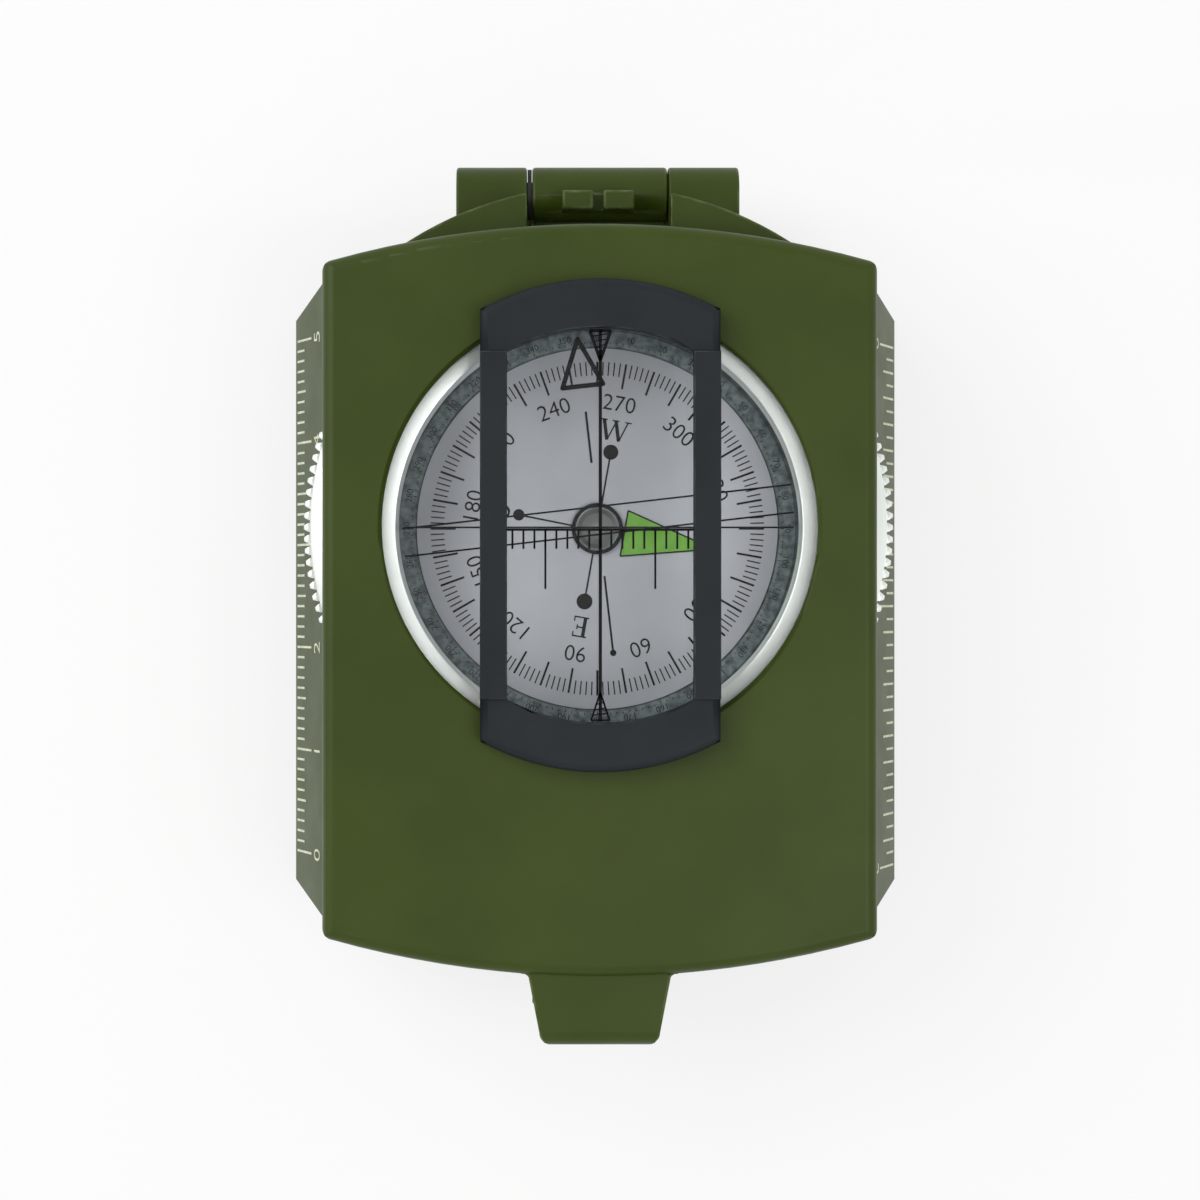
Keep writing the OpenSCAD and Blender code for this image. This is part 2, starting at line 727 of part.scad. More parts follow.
// Plan of the thumb tab, which widens towards the lid and meets it in fillets
module tab_plan() {
    r = tab_corner_r;
    end = -end_y - tab_len;
    lean = (tab_w - tab_end_w) / 2 / (tab_len - r);
    root_x = tab_w / 2 - tab_root_r * lean;
    root_y = bow(root_x + tab_root_r) - end_y;
    polygon([
        [-tab_w / 2, -end_y + 2], [tab_w / 2, -end_y + 2], [tab_w / 2, -end_y], [tab_end_w / 2, end + r],
        [-tab_end_w / 2, end + r], [-tab_w / 2, -end_y]
    ]);
    translate([r - tab_end_w / 2, end]) square([tab_end_w - 2 * r, r + 1]);
    for (side = [0, 1]) mirror([side, 0]) {
        translate([tab_end_w / 2 - r, end + r]) circle(r = r);
        difference() {
            translate([root_x - 0.5, root_y - tab_root_r]) square([tab_root_r + 0.5, tab_root_r + 0.5]);
            translate([root_x + tab_root_r, root_y - tab_root_r]) circle(r = tab_root_r);
        }
    }
}

// Profile of the thumb tab, rounded off at its end
module tab_profile() {
    end = -end_y - tab_len;
    top = face_z - tab_drop;
    low = top - tab_t;
    difference() {
        translate([end, low]) square([tab_len + 2, tab_t]);
        difference() {
            translate([end - 1, top - tab_nose_r]) square([tab_nose_r + 1, tab_nose_r + 1]);
            translate([end + tab_nose_r, top - tab_nose_r]) circle(r = tab_nose_r);
        }
        difference() {
            translate([end - 1, low - 1]) square([tab_heel_r + 1, tab_heel_r + 1]);
            translate([end + tab_heel_r, low + tab_heel_r]) circle(r = tab_heel_r);
        }
    }
}

module thumb_tab() {
    intersection() {
        translate([0, 0, face_z - tab_drop - tab_t - 1]) linear_extrude(tab_t + 2) tab_plan();
        along_x(-tab_w, tab_w) tab_profile();
    }
}

// Rounds the corners between the slots and the parting line
module slot_corners() {
    r = slot_corner_r;
    for (side = [0, 1]) translate([0, dial_y, 0]) mirror([0, side, 0]) along_x(-lid_w, lid_w) difference() {
        translate([slot_len / 2 - 1, lid_z - 1]) square([r + 1, r + 1]);
        translate([slot_len / 2 + r, lid_z + r]) circle(r = r);
    }
}

module lid_shell() {
    color([0.28, 0.33, 0.16]) difference() {
        union() {
            lid_form();
            lid_hinge();
            thumb_tab();
        }
        translate([0, 0, 0]) linear_extrude(lid_ceiling_z) bowed_outline(lid_w / 2 - lid_wall, end_y - lid_wall);
        dial_disc(bezel_clear_r, 0, lid_z + slot_h);
        translate([-lid_w, dial_y - slot_len / 2, 0]) cube([2 * lid_w, slot_len, lid_z + slot_h]);
        slot_corners();
        dial_disc(window_r, 0, face_z + 1);
        dial_disc(rebate_r, 0, rebate_z);
        translate([0, dial_y, face_z - 0.3]) cylinder(r1 = window_r, r2 = window_r + 0.4, h = 0.3 + eps);
        translate([-hinge_cut_w / 2, end_y - block_root, 0])
            cube([hinge_cut_w, 2 * (hinge_out + block_root), hinge_cut_top]);
        bar_x(hinge_bore_r, -knuckle_out - 1, knuckle_out + 1, hinge_y, hinge_z);
        for (side = [-1, 1])
            bar_x(hinge_pin_r + 0.35, side * knuckle_out - 0.9, side * knuckle_out + 0.9, hinge_y, hinge_z);
    }
}

module lid_window() {
    color([0.85, 0.92, 0.95, 0.3]) dial_disc(rebate_r - 0.1, rebate_z - window_t, rebate_z);
}

module window_retainer() {
    color([0.20, 0.21, 0.22])
        dial_ring(rebate_r - 0.05, window_r + 0.1, rebate_z - window_t - retainer_h, rebate_z - window_t - seat);
}

// Outline of the sight, on the dial's centre
module sight_outline(r, w) {
    translate([0, dial_y]) intersection() {
        circle(r = r);
        square([w, 3 * r], center = true);
    }
}

module sight_frame() {
    color([0.20, 0.22, 0.24]) difference() {
        union() {
            intersection() {
                translate([0, dial_y, sight_z]) crowned_disc(sight_r, sight_h, sight_edge_r);
                along_y(dial_y - sight_r - 1, dial_y + sight_r + 1) translate([0, sight_z])
                    crowned_profile(sight_w / 2, sight_h, sight_edge_r);
            }
            for (side = [-1, 1])
                translate([side * (sight_w - sight_bar_w) / 2, dial_y, sight_z + sight_h + sight_rise / 2 - 0.3])
                    cube([sight_bar_w, sight_raised_len, sight_rise + 0.6], center = true);
        }
        translate([0, 0, sight_z - 1]) linear_extrude(sight_h + 3) sight_outline(sight_opening_r, sight_opening_w);
        translate([0, dial_y, sight_z]) cube([sight_w + 2, sight_span, 2 * sight_gap], center = true);
        translate([0, 0, pane_z - seat]) linear_extrude(pane_t + 2 * seat)
            sight_outline(sight_opening_r + pane_lap, sight_opening_w + 2 * pane_lap);
    }
}

module sight_pane() {
    color([0.85, 0.92, 0.95, 0.3]) translate([0, 0, pane_z]) linear_extrude(pane_t)
        sight_outline(sight_opening_r + pane_lap - seat, sight_opening_w + 2 * (pane_lap - seat));
}

// Outline of the knurl: two points to each ridge
module knurl_outline() {
    polygon([
        for (i = [0 : 2 * knurl_count - 1])
            let (a = 180 * i / knurl_count, r = bezel_r - (i % 2) * knurl_depth)
                [r * cos(a), r * sin(a)]
    ]);
}

// Revolved body of the bezel: skirt, swelling cone, flat top, lip, glass seat and groove for the snap ring
module bezel_profile() {
    skirt_r = bezel_r - knurl_depth - 0.4;
    groove_r = snap_out_r + 0.1;
    foot = [bezel_r - knurl_depth - 0.2, cone_z];
    crown = [bezel_top_r, bezel_top_z];
    slope = crown - foot;
    out = [slope[1], -slope[0]] / norm(slope);
    swell_r = norm(slope) * norm(slope) / (8 * bezel_swell) + bezel_swell / 2;
    intersection() {
        polygon([
            [bezel_bore_r, bezel_z], [skirt_r, bezel_z], [skirt_r, knurl_z + 0.2], [foot[0], knurl_z + 0.2],
            foot, foot + out, crown + out, crown, [bezel_lip_r + 0.3, bezel_top_z],
            [bezel_lip_r, bezel_top_z - bezel_lip_t], [bezel_glass_r, bezel_top_z - bezel_lip_t],
            [bezel_glass_r, collar_top_z + soft_gap], [bezel_bore_r, collar_top_z + soft_gap],
            [bezel_bore_r, snap_z + snap_t + snap_play], [groove_r, snap_z + snap_t + snap_play],
            [groove_r, snap_z - snap_play], [bezel_bore_r, snap_z - snap_play]
        ]);
        translate((foot + crown) / 2 - out * (swell_r - bezel_swell)) circle(r = swell_r, $fn = 480);
    }
}

module bezel_ring() {
    color([0.85, 0.86, 0.85]) translate([0, dial_y, 0]) union() {
        rotate_extrude() bezel_profile();
        difference() {
            translate([0, 0, knurl_z]) linear_extrude(knurl_h) knurl_outline();
            translate([0, 0, knurl_z - 1]) cylinder(r = bezel_r - knurl_depth - 1, h = knurl_h + 2);
        }
    }
}

module bezel_glass() {
    color([0.85, 0.92, 0.95, 0.3]) dial_disc(bezel_glass_r - seat, bezel_glass_z, bezel_glass_z + bezel_glass_t);
}

// Turns a piece of the card from its own north to where it points
module on_card() {
    translate([0, dial_y, 0]) rotate(card_turn) children();
}

// Card with a rim that hangs down into the cup
module compass_card() {
    color([0.80, 0.81, 0.85]) difference() {
        dial_disc(card_r, card_z + card_t - card_rim_h, card_z + card_t);
        dial_disc(card_r - 0.6, card_z - card_rim_h, card_z);
        dial_disc(jewel_r + seat, card_z - 1, card_z + card_t + 1);
    }
}

module north_marker() {
    color([0.49, 0.70, 0.33]) on_card() translate([0, cap_r + 0.1, card_z + card_t]) linear_extrude(marker_t)
        polygon([[-marker_w / 2, 0], [marker_w / 2, 0], [marker_w * 0.1, marker_len], [-marker_w * 0.1, marker_len]]);
}

module card_magnets() {
    for (side = [-1, 1]) color([0.35, 0.35, 0.37]) on_card()
        translate([side * magnet_y - magnet_w / 2, -magnet_len / 2, card_z - magnet_h])
            cube([magnet_w, magnet_len, magnet_h]);
}

module jewel_bearing() {
    color([0.70, 0.20, 0.30]) difference() {
        union() {
            dial_disc(jewel_r, jewel_z, jewel_z + jewel_len);
            dial_disc(jewel_flange_r, card_z - jewel_flange_t, card_z);
        }
        translate([0, dial_y, jewel_z - eps])
            cylinder(r1 = jewel_mouth_r, r2 = jewel_seat_r, h = jewel_bore_h + eps);
    }
}

module hub_cap() {
    color([0.7, 0.72, 0.74, 0.6]) translate([0, dial_y, card_z + card_t]) crowned_disc(cap_r, cap_h, cap_h * 0.7);
}

// Profile of the loop's plate: it slopes down to its tip and is thinnest where it passes the cover's bevel
module loop_plate_profile() {
    polygon([
        [loop_tip_y, 0], [loop_tip_y, loop_tip_t], [loop_knee_y, loop_tip_t + loop_lift / 2],
        [loop_y - loop_eye_r, loop_root_z + loop_root_t],
        [loop_back_y, loop_root_z + loop_root_t], [loop_back_y, loop_root_z],
        [loop_back_y - loop_bend_r, loop_root_z]
    ]);
}

// What is cut off the loop outside the bend between its arms and its plate
module loop_bend() {
    along_x(-loop_w, loop_w) difference() {
        translate([loop_back_y - loop_bend_r, loop_root_z - 1]) square([loop_bend_r + 1, loop_bend_r + 1]);
        translate([loop_back_y - loop_bend_r, loop_root_z + loop_bend_r]) circle(r = loop_bend_r);
    }
}

// Plan of the loop's plate: rounded tip, and the opening for a finger
module loop_plate_plan() {
    difference() {
        union() {
            translate([-loop_w / 2, loop_tip_y + loop_corner_r])
                square([loop_w, loop_back_y - loop_tip_y - loop_corner_r]);
            translate([loop_corner_r - loop_w / 2, loop_tip_y])
                square([loop_w - 2 * loop_corner_r, loop_corner_r + 1]);
            for (side = [-1, 1])
                translate([side * (loop_w / 2 - loop_corner_r), loop_tip_y + loop_corner_r]) circle(r = loop_corner_r);
        }
        translate([-loop_hole_w / 2, loop_hole_start + loop_hole_r])
            square([loop_hole_w, loop_hole_end - loop_hole_start - 2 * loop_hole_r]);
        translate([loop_hole_r - loop_hole_w / 2, loop_hole_start])
            square([loop_hole_w - 2 * loop_hole_r, loop_hole_end - loop_hole_start]);
        for (side = [-1, 1], y = [loop_hole_start + loop_hole_r, loop_hole_end - loop_hole_r])
            translate([side * (loop_hole_w / 2 - loop_hole_r), y]) circle(r = loop_hole_r);
    }
}

module finger_loop() {
    color([0.30, 0.36, 0.18]) difference() {
        union() {
            intersection() {
                translate([0, 0, -1]) linear_extrude(loop_pivot_z + 3) loop_plate_plan();
                along_x(-loop_w / 2, loop_w / 2) loop_plate_profile();
            }
            for (side = [-1, 1]) {
                low = side < 0 ? -loop_w / 2 : loop_arm_x;
                bar_x(loop_eye_r, low, low + loop_arm_t, loop_y, loop_pivot_z);
                translate([low, loop_y - loop_eye_r, loop_root_z + 0.5])
                    cube([loop_arm_t, 2 * loop_eye_r, loop_pivot_z - loop_root_z - 0.5]);
            }
        }
        bar_x(rivet_r + fit, -loop_w, loop_w, loop_y, loop_pivot_z);
        loop_bend();
    }
}

// Sliding tube with a wider head for the lens, which the focus ring takes along
module lens_cell() {
    color([0.14, 0.14, 0.15]) difference() {
        union() {
            bar_y(cell_r, head_front_y, head_front_y + cell_len);
            bar_y(head_r, head_front_y, head_back_y);
        }
        bar_y(lens_r + seat, head_front_y - 1, lens_back_y);
        bar_y(cell_r - cell_wall, head_front_y - 1, head_front_y + cell_len + 1);
    }
}

// Lens with a flat back and a round face
module eyepiece_lens() {
    color([0.85, 0.92, 0.95, 0.3]) translate([0, lens_back_y, eyepiece_z]) rotate([90, 0, 0])
        rotate_extrude() intersection() {
            square([lens_r, lens_t]);
            translate([0, lens_t - lens_face_r]) circle(r = lens_face_r);
        }
}

module lens_retainer() {
    color([0.14, 0.14, 0.15]) difference() {
        bar_y(lens_r, head_front_y + seat, lens_front_y);
        bar_y(lens_r - retainer_w, head_front_y - 1, lens_front_y + 1);
    }
}

// Fluted knob: a lip in front of the lens cell's head, and the thread behind it
module focus_ring() {
    color([0.12, 0.13, 0.15]) difference() {
        translate([0, focus_back_y, eyepiece_z]) rotate([90, 0, 0]) rotate_extrude() polygon([
            [0, 0], [focus_r, 0], [focus_r, focus_len - focus_chamfer],
            [focus_r - focus_chamfer, focus_len], [0, focus_len]
        ]);
        for (i = [0 : flute_count - 1])
            translate([0, 0, eyepiece_z]) rotate([0, 360 * i / flute_count, 0]) translate([focus_r, 0, 0])
                rotate([90, 0, 0]) cylinder(r = flute_r, h = 3 * end_y, center = true, $fn = 8);
        bar_y(thread_r + focus_fit, head_back_y - 1, focus_back_y + 1);
        bar_y(head_r + focus_fit, head_front_y - focus_fit, head_back_y + focus_fit);
        bar_y(head_r - 0.4, focus_front_y - 1, head_front_y);
    }
}

base_housing();
bottom_cover();
cover_gasket();
cover_screws();
tripod_insert();
capsule_cup();
capsule_crystal();
capsule_gasket();
scale_ring();
pivot_pin();
bezel_snap_ring();
hinge_pin();
hinge_washer();
loop_rivets();
eyepiece_bushing();
lid_shell();
lid_window();
window_retainer();
sight_frame();
sight_pane();
bezel_ring();
bezel_glass();
compass_card();
north_marker();
card_magnets();
jewel_bearing();
hub_cap();
finger_loop();
lens_cell();
eyepiece_lens();
lens_retainer();
focus_ring();
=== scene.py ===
import math

import bmesh
import bpy
from mathutils import Matrix, Vector


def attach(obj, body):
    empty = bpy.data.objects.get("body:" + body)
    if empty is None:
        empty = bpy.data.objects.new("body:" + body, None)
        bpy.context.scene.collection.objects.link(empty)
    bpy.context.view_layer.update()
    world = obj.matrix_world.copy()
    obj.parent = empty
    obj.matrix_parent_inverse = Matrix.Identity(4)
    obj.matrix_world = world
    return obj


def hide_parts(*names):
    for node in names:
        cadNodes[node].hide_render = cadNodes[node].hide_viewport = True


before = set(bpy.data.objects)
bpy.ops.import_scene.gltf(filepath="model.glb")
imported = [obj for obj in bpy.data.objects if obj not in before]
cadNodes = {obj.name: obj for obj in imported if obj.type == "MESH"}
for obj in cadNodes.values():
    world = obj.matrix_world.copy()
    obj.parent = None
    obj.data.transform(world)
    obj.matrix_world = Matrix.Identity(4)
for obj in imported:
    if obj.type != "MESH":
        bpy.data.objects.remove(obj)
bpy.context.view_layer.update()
mm = 0.001
dialCentre = (0, 6.8)  # where the dial stands on the case, in mm like every size here
print("frame loaded:", len(cadNodes), "nodes")


# Small helpers for shapes. Sizes are written in mm and turned to metres when a mesh is made.

def tone(red, green, blue):  # 0-255 as a picture shows it, to the linear values of a socket
    parts = [c / 255 for c in (red, green, blue)]
    return tuple(p / 12.92 if p <= 0.04045 else ((p + 0.055) / 1.055) ** 2.4 for p in parts) + (1,)


def addObject(name, mesh, material=None):
    piece = bpy.data.objects.new(name, mesh)
    bpy.context.scene.collection.objects.link(piece)
    if material:
        mesh.materials.clear()
        mesh.materials.append(material)
    return piece


def meshFrom(name, work, smoothAngle=30):
    bmesh.ops.remove_doubles(work, verts=work.verts, dist=1e-4)
    bmesh.ops.recalc_face_normals(work, faces=work.faces)
    bmesh.ops.scale(work, vec=(mm, mm, mm), verts=work.verts)
    mesh = bpy.data.meshes.new(name)
    work.to_mesh(mesh)
    work.free()
    mesh.shade_smooth()
    mesh.set_sharp_from_angle(angle=math.radians(smoothAngle))
    return mesh


def evaluated(piece):
    bpy.context.view_layer.update()
    solved = piece.evaluated_get(bpy.context.evaluated_depsgraph_get())
    mesh = bpy.data.meshes.new_from_object(solved)
    mesh.name = piece.name
    return mesh


def addSlab(work, outline, low, high):  # upright prism on an outline in X and Y
    top = [work.verts.new((x, y, high)) for x, y in outline]
    base = [work.verts.new((x, y, low)) for x, y in outline]
    work.faces.new(top)
    work.faces.new(list(reversed(base)))
    for i in range(len(outline)):
        j = (i + 1) % len(outline)
        work.faces.new((base[i], base[j], top[j], top[i]))


def addStroke(work, start, end, width, low, high):
    start, end = Vector(start), Vector(end)
    side = (end - start).normalized().orthogonal() * width / 2
    addSlab(work, [start + side, start - side, end - side, end + side], low, high)


def addPath(work, points, width, low, high):
    for a, b in zip(points, points[1:]):
        addStroke(work, a, b, width, low, high)


def addDisc(work, centre, radius, low, high, sides=32):
    turns = [2 * math.pi * i / sides for i in range(sides)]
    outline = [(centre[0] + radius * math.cos(t), centre[1] + radius * math.sin(t)) for t in turns]
    addSlab(work, outline, low, high)


def revolved(name, profile, sides=192, place=None, smoothAngle=30):  # closed profile of radius and height
    work = bmesh.new()
    rows = []
    for i in range(sides):
        t = 2 * math.pi * i / sides
        rows.append([work.verts.new((r * math.cos(t), r * math.sin(t), z)) for r, z in profile])
    for i in range(sides):
        a, b = rows[i], rows[(i + 1) % sides]
        for k in range(len(profile)):
            n = (k + 1) % len(profile)
            if profile[k][0] or profile[n][0]:
                work.faces.new((a[k], b[k], b[n], a[n]))
    if place:
        bmesh.ops.transform(work, matrix=place, verts=work.verts)
    return meshFrom(name, work, smoothAngle)


def addWords(work, words, height, place, weight=0, depth=0.02):
    letters = bpy.data.curves.new("letters", "FONT")
    letters.body = words
    letters.align_x = "CENTER"
    letters.align_y = "CENTER"
    letters.size = height * 1.4
    letters.offset = weight
    letters.extrude = depth / 2
    letters.resolution_u = 4
    holder = addObject("letters", letters)
    mesh = evaluated(holder)
    mesh.transform(place)
    work.from_mesh(mesh)
    bpy.data.objects.remove(holder)
    bpy.data.meshes.remove(mesh)


def dialPlace(radius, angle, height, turn=0):  # angle clockwise from the hinge, foot towards the centre
    upright = Matrix.Rotation(math.radians(-angle), 4, "Z") @ Matrix.Translation((0, radius, 0))
    spin = Matrix.Rotation(math.radians(turn), 4, "Z")
    return Matrix.Translation((*dialCentre, height)) @ upright @ spin


def onDial(radius, angle):  # point in plan, angle clockwise from the hinge
    t = math.radians(angle)
    return Vector((dialCentre[0] + radius * math.sin(t), dialCentre[1] + radius * math.cos(t)))


# Finishes. Every pattern reads Object coordinates, and its size is in mm.

def blank(name):
    material = bpy.data.materials.new(name)
    material.use_nodes = True
    return material, material.node_tree, material.node_tree.nodes["Principled BSDF"]


def noiseNode(tree, size, detail=2.0, stretch=None, offset=0.0):
    place = tree.nodes.new("ShaderNodeTexCoord")
    mapping = tree.nodes.new("ShaderNodeMapping")
    mapping.inputs["Scale"].default_value = stretch or (1, 1, 1)
    mapping.inputs["Location"].default_value = (offset, offset * 0.7, offset * 0.4)
    tree.links.new(place.outputs["Object"], mapping.inputs["Vector"])
    noise = tree.nodes.new("ShaderNodeTexNoise")
    noise.inputs["Scale"].default_value = 1 / (size * mm)
    noise.inputs["Detail"].default_value = detail
    tree.links.new(mapping.outputs["Vector"], noise.inputs["Vector"])
    return noise.outputs["Fac"]


def rangeNode(tree, value, low, high, toLow=0.0, toHigh=1.0):
    spread = tree.nodes.new("ShaderNodeMapRange")
    spread.inputs["From Min"].default_value = low
    spread.inputs["From Max"].default_value = high
    spread.inputs["To Min"].default_value = toLow
    spread.inputs["To Max"].default_value = toHigh
    tree.links.new(value, spread.inputs["Value"])
    return spread.outputs["Result"]


def mixNode(tree, factor, first, second):
    blend = tree.nodes.new("ShaderNodeMix")
    blend.data_type = "RGBA"
    for socket, value in ((blend.inputs[0], factor), (blend.inputs[6], first), (blend.inputs[7], second)):
        if isinstance(value, bpy.types.NodeSocket):
            tree.links.new(value, socket)
        else:
            socket.default_value = value
    return blend.outputs[2]


def mathNode(tree, operation, first, second=None, third=None):
    node = tree.nodes.new("ShaderNodeMath")
    node.operation = operation
    for socket, value in zip(node.inputs, (first, second, third)):
        if isinstance(value, bpy.types.NodeSocket):
            tree.links.new(value, socket)
        elif value is not None:
            socket.default_value = value
    return node.outputs[0]


def bumpNode(tree, shader, height, depth):
    bump = tree.nodes.new("ShaderNodeBump")
    bump.inputs["Distance"].default_value = depth * mm
    tree.links.new(height, bump.inputs["Height"])
    tree.links.new(bump.outputs["Normal"], shader.inputs["Normal"])


pattern = {"patches": (0.35, 0.68), "edgePatchSize": 1.7, "edgePatches": (0.42, 0.66), "sheenShare": 0.37,
           "sheen": (0.3, 0.7), "smears": (0.45, 0.75), "coatRough": 0.2}


def solidFinish(name, look):
    material, tree, shader = blank(name)
    patches = rangeNode(tree, noiseNode(tree, look["patch"], 3), *pattern["patches"])
    colour = mixNode(tree, patches, look["colour"], look["second"])
    # paler colour along the roundings: rubbed paint, and a painted highlight where a rounded edge would catch
    # the light
    if "edgeWearAndHighlight" in look:
        edge = tree.nodes.new("ShaderNodeAttribute")
        edge.attribute_name = "edge"
        edgePatches = rangeNode(tree, noiseNode(tree, pattern["edgePatchSize"], 4, offset=0.3), *pattern["edgePatches"])
        share = mathNode(tree, "MULTIPLY", edgePatches, look["wearAndHighlightShare"])
        share = mathNode(tree, "MULTIPLY", edge.outputs["Fac"], share)
        colour = mixNode(tree, share, colour, look["edgeWearAndHighlight"])
    tree.links.new(colour, shader.inputs["Base Color"])
    fine = noiseNode(tree, look["patch"] * pattern["sheenShare"], 4, offset=0.9)
    tree.links.new(rangeNode(tree, fine, *pattern["sheen"], *look["rough"]), shader.inputs["Roughness"])
    bumpNode(tree, shader, noiseNode(tree, look["grain"], 2, look.get("stretch")), look["grainDepth"])
    shader.inputs["Metallic"].default_value = look.get("metallic", 0)
    shader.inputs["Coat Weight"].default_value = look.get("coat", 0)
    shader.inputs["Coat Roughness"].default_value = pattern["coatRough"]
    shader.inputs["IOR"].default_value = look.get("ior", 1.5)
    return material


def clearFinish(name, look):
    material, tree, shader = blank(name)
    shader.inputs["Base Color"].default_value = look["colour"]
    shader.inputs["Transmission Weight"].default_value = 1
    shader.inputs["IOR"].default_value = look["ior"]
    smear = rangeNode(tree, noiseNode(tree, look["patch"], 3), *pattern["smears"], *look["rough"])
    tree.links.new(smear, shader.inputs["Roughness"])
    return material


# each look's paler edge colour is rubbed paint plus a painted highlight on the rounded edges
paintLook = {"colour": tone(59, 73, 19), "second": tone(53, 67, 15), "patch": 11, "rough": (0.36, 0.44),
             "ior": 1.31, "grain": 0.5, "grainDepth": 0.008, "edgeWearAndHighlight": tone(128, 140, 98), "wearAndHighlightShare": 0.35,
             "coat": 0.02}
pinLook = dict(paintLook, colour=tone(70, 84, 30), second=tone(64, 78, 25), patch=4)
coverLook = {"colour": tone(40, 45, 51), "second": tone(33, 38, 43), "patch": 7, "rough": (0.42, 0.58),
             "ior": 1.4, "grain": 0.16, "grainDepth": 0.012, "edgeWearAndHighlight": tone(104, 110, 116), "wearAndHighlightShare": 0.45}
sightLook = {"colour": tone(31, 37, 41), "second": tone(25, 31, 35), "patch": 8, "rough": (0.45, 0.6),
             "ior": 1.31, "grain": 0.14, "grainDepth": 0.008, "edgeWearAndHighlight": tone(104, 110, 114), "wearAndHighlightShare": 0.3}
knobLook = {"colour": tone(30, 33, 37), "second": tone(23, 26, 30), "patch": 3, "rough": (0.34, 0.5),
            "ior": 1.42, "grain": 0.18, "grainDepth": 0.008, "edgeWearAndHighlight": tone(84, 88, 92), "wearAndHighlightShare": 0.4}
rubberLook = {"colour": tone(22, 22, 22), "second": tone(30, 30, 30), "patch": 2, "rough": (0.7, 0.85),
              "grain": 0.2, "grainDepth": 0.02}
steelLook = {"colour": tone(190, 192, 196), "second": tone(170, 172, 178), "patch": 2, "rough": (0.25, 0.4),
             "grain": 0.3, "grainDepth": 0.006, "metallic": 1, "stretch": (1, 1, 6)}
magnetLook = dict(steelLook, colour=tone(120, 120, 126), second=tone(98, 98, 104))
brassLook = dict(steelLook, colour=tone(200, 172, 104), second=tone(180, 150, 84))
silverLook = {"colour": tone(244, 248, 243), "second": tone(236, 241, 236), "patch": 5, "rough": (0.33, 0.42),
              "grain": 0.22, "grainDepth": 0.003, "metallic": 1, "stretch": (1, 1, 7)}
cardLook = {"colour": tone(210, 212, 219), "second": tone(202, 204, 212), "patch": 6, "rough": (0.45, 0.6),
            "grain": 0.3, "grainDepth": 0.003}
ringLook = {"colour": tone(146, 160, 161), "second": tone(84, 96, 99), "patch": 0.7, "rough": (0.4, 0.55),
            "grain": 0.25, "grainDepth": 0.01}
markerLook = {"colour": tone(136, 206, 72), "second": tone(120, 192, 58), "patch": 1.5, "rough": (0.5, 0.65),
              "grain": 0.2, "grainDepth": 0.01}
jewelLook = {"colour": tone(186, 60, 86), "second": tone(160, 44, 70), "patch": 1, "rough": (0.08, 0.16),
             "grain": 0.4, "grainDepth": 0.001, "coat": 0.5}
inkLook = {"colour": tone(10, 10, 13), "second": tone(22, 22, 26), "patch": 0.8, "rough": (0.6, 0.75),
           "ior": 1.25, "grain": 0.15, "grainDepth": 0.003}
creamLook = {"colour": tone(222, 227, 200), "second": tone(196, 203, 170), "patch": 1.1, "rough": (0.45, 0.6),
             "grain": 0.2, "grainDepth": 0.006}
glassLook = {"colour": tone(253, 254, 254), "ior": 1.2, "patch": 9, "rough": (0.0, 0.01)}
plasticLook = {"colour": tone(249, 251, 251), "ior": 1.35, "patch": 5, "rough": (0.0, 0.06)}

paint = solidFinish("olivePaint", paintLook)
pinPaint = solidFinish("pinPaint", pinLook)
coverBlack = solidFinish("coverBlack", coverLook)
sightGrey = solidFinish("sightGrey", sightLook)
knobBlack = solidFinish("knobBlack", knobLook)
rubber = solidFinish("rubber", rubberLook)
steel = solidFinish("plainSteel", steelLook)
magnetSteel = solidFinish("magnetSteel", magnetLook)
brass = solidFinish("turnedBrass", brassLook)
silver = solidFinish("brightSilver", silverLook)
cardWhite = solidFinish("cardWhite", cardLook)
ringGrey = solidFinish("mottledGrey", ringLook)
markerGreen = solidFinish("luminousGreen", markerLook)
jewel = solidFinish("jewelRed", jewelLook)
blackInk = solidFinish("blackInk", inkLook)
creamInk = solidFinish("creamInk", creamLook)
glass = clearFinish("clearGlass", glassLook)
clearPlastic = clearFinish("clearPlastic", plasticLook)
print("finishes made")

nodeFinishes = {
    "base_housing": paint, "lid_shell": paint, "finger_loop": paint, "hinge_pin": pinPaint,
    "loop_rivets": pinPaint, "bottom_cover": coverBlack, "sight_frame": sightGrey,
    "window_retainer": knobBlack, "eyepiece_bushing": knobBlack, "lens_cell": knobBlack,
    "lens_retainer": knobBlack, "focus_ring": knobBlack, "cover_gasket": rubber,
    "capsule_gasket": rubber, "hinge_washer": rubber, "cover_screws": steel, "pivot_pin": steel,
    "bezel_snap_ring": steel, "card_magnets": magnetSteel, "tripod_insert": brass,
    "bezel_ring": silver, "compass_card": cardWhite, "scale_ring": ringGrey,
    "north_marker": markerGreen, "jewel_bearing": jewel, "hub_cap": clearPlastic,
    "capsule_cup": clearPlastic, "capsule_crystal": glass, "lid_window": glass,
    "sight_pane": glass, "bezel_glass": glass, "eyepiece_lens": glass,
}
for nodeName, finish in nodeFinishes.items():
    cadNodes[nodeName].data.materials.clear()
    cadNodes[nodeName].data.materials.append(finish)
for nodeName in ("sight_pane", "lid_window", "bezel_glass", "capsule_crystal"):
    cadNodes[nodeName].visible_shadow = False
    cadNodes[nodeName].visible_diffuse = False
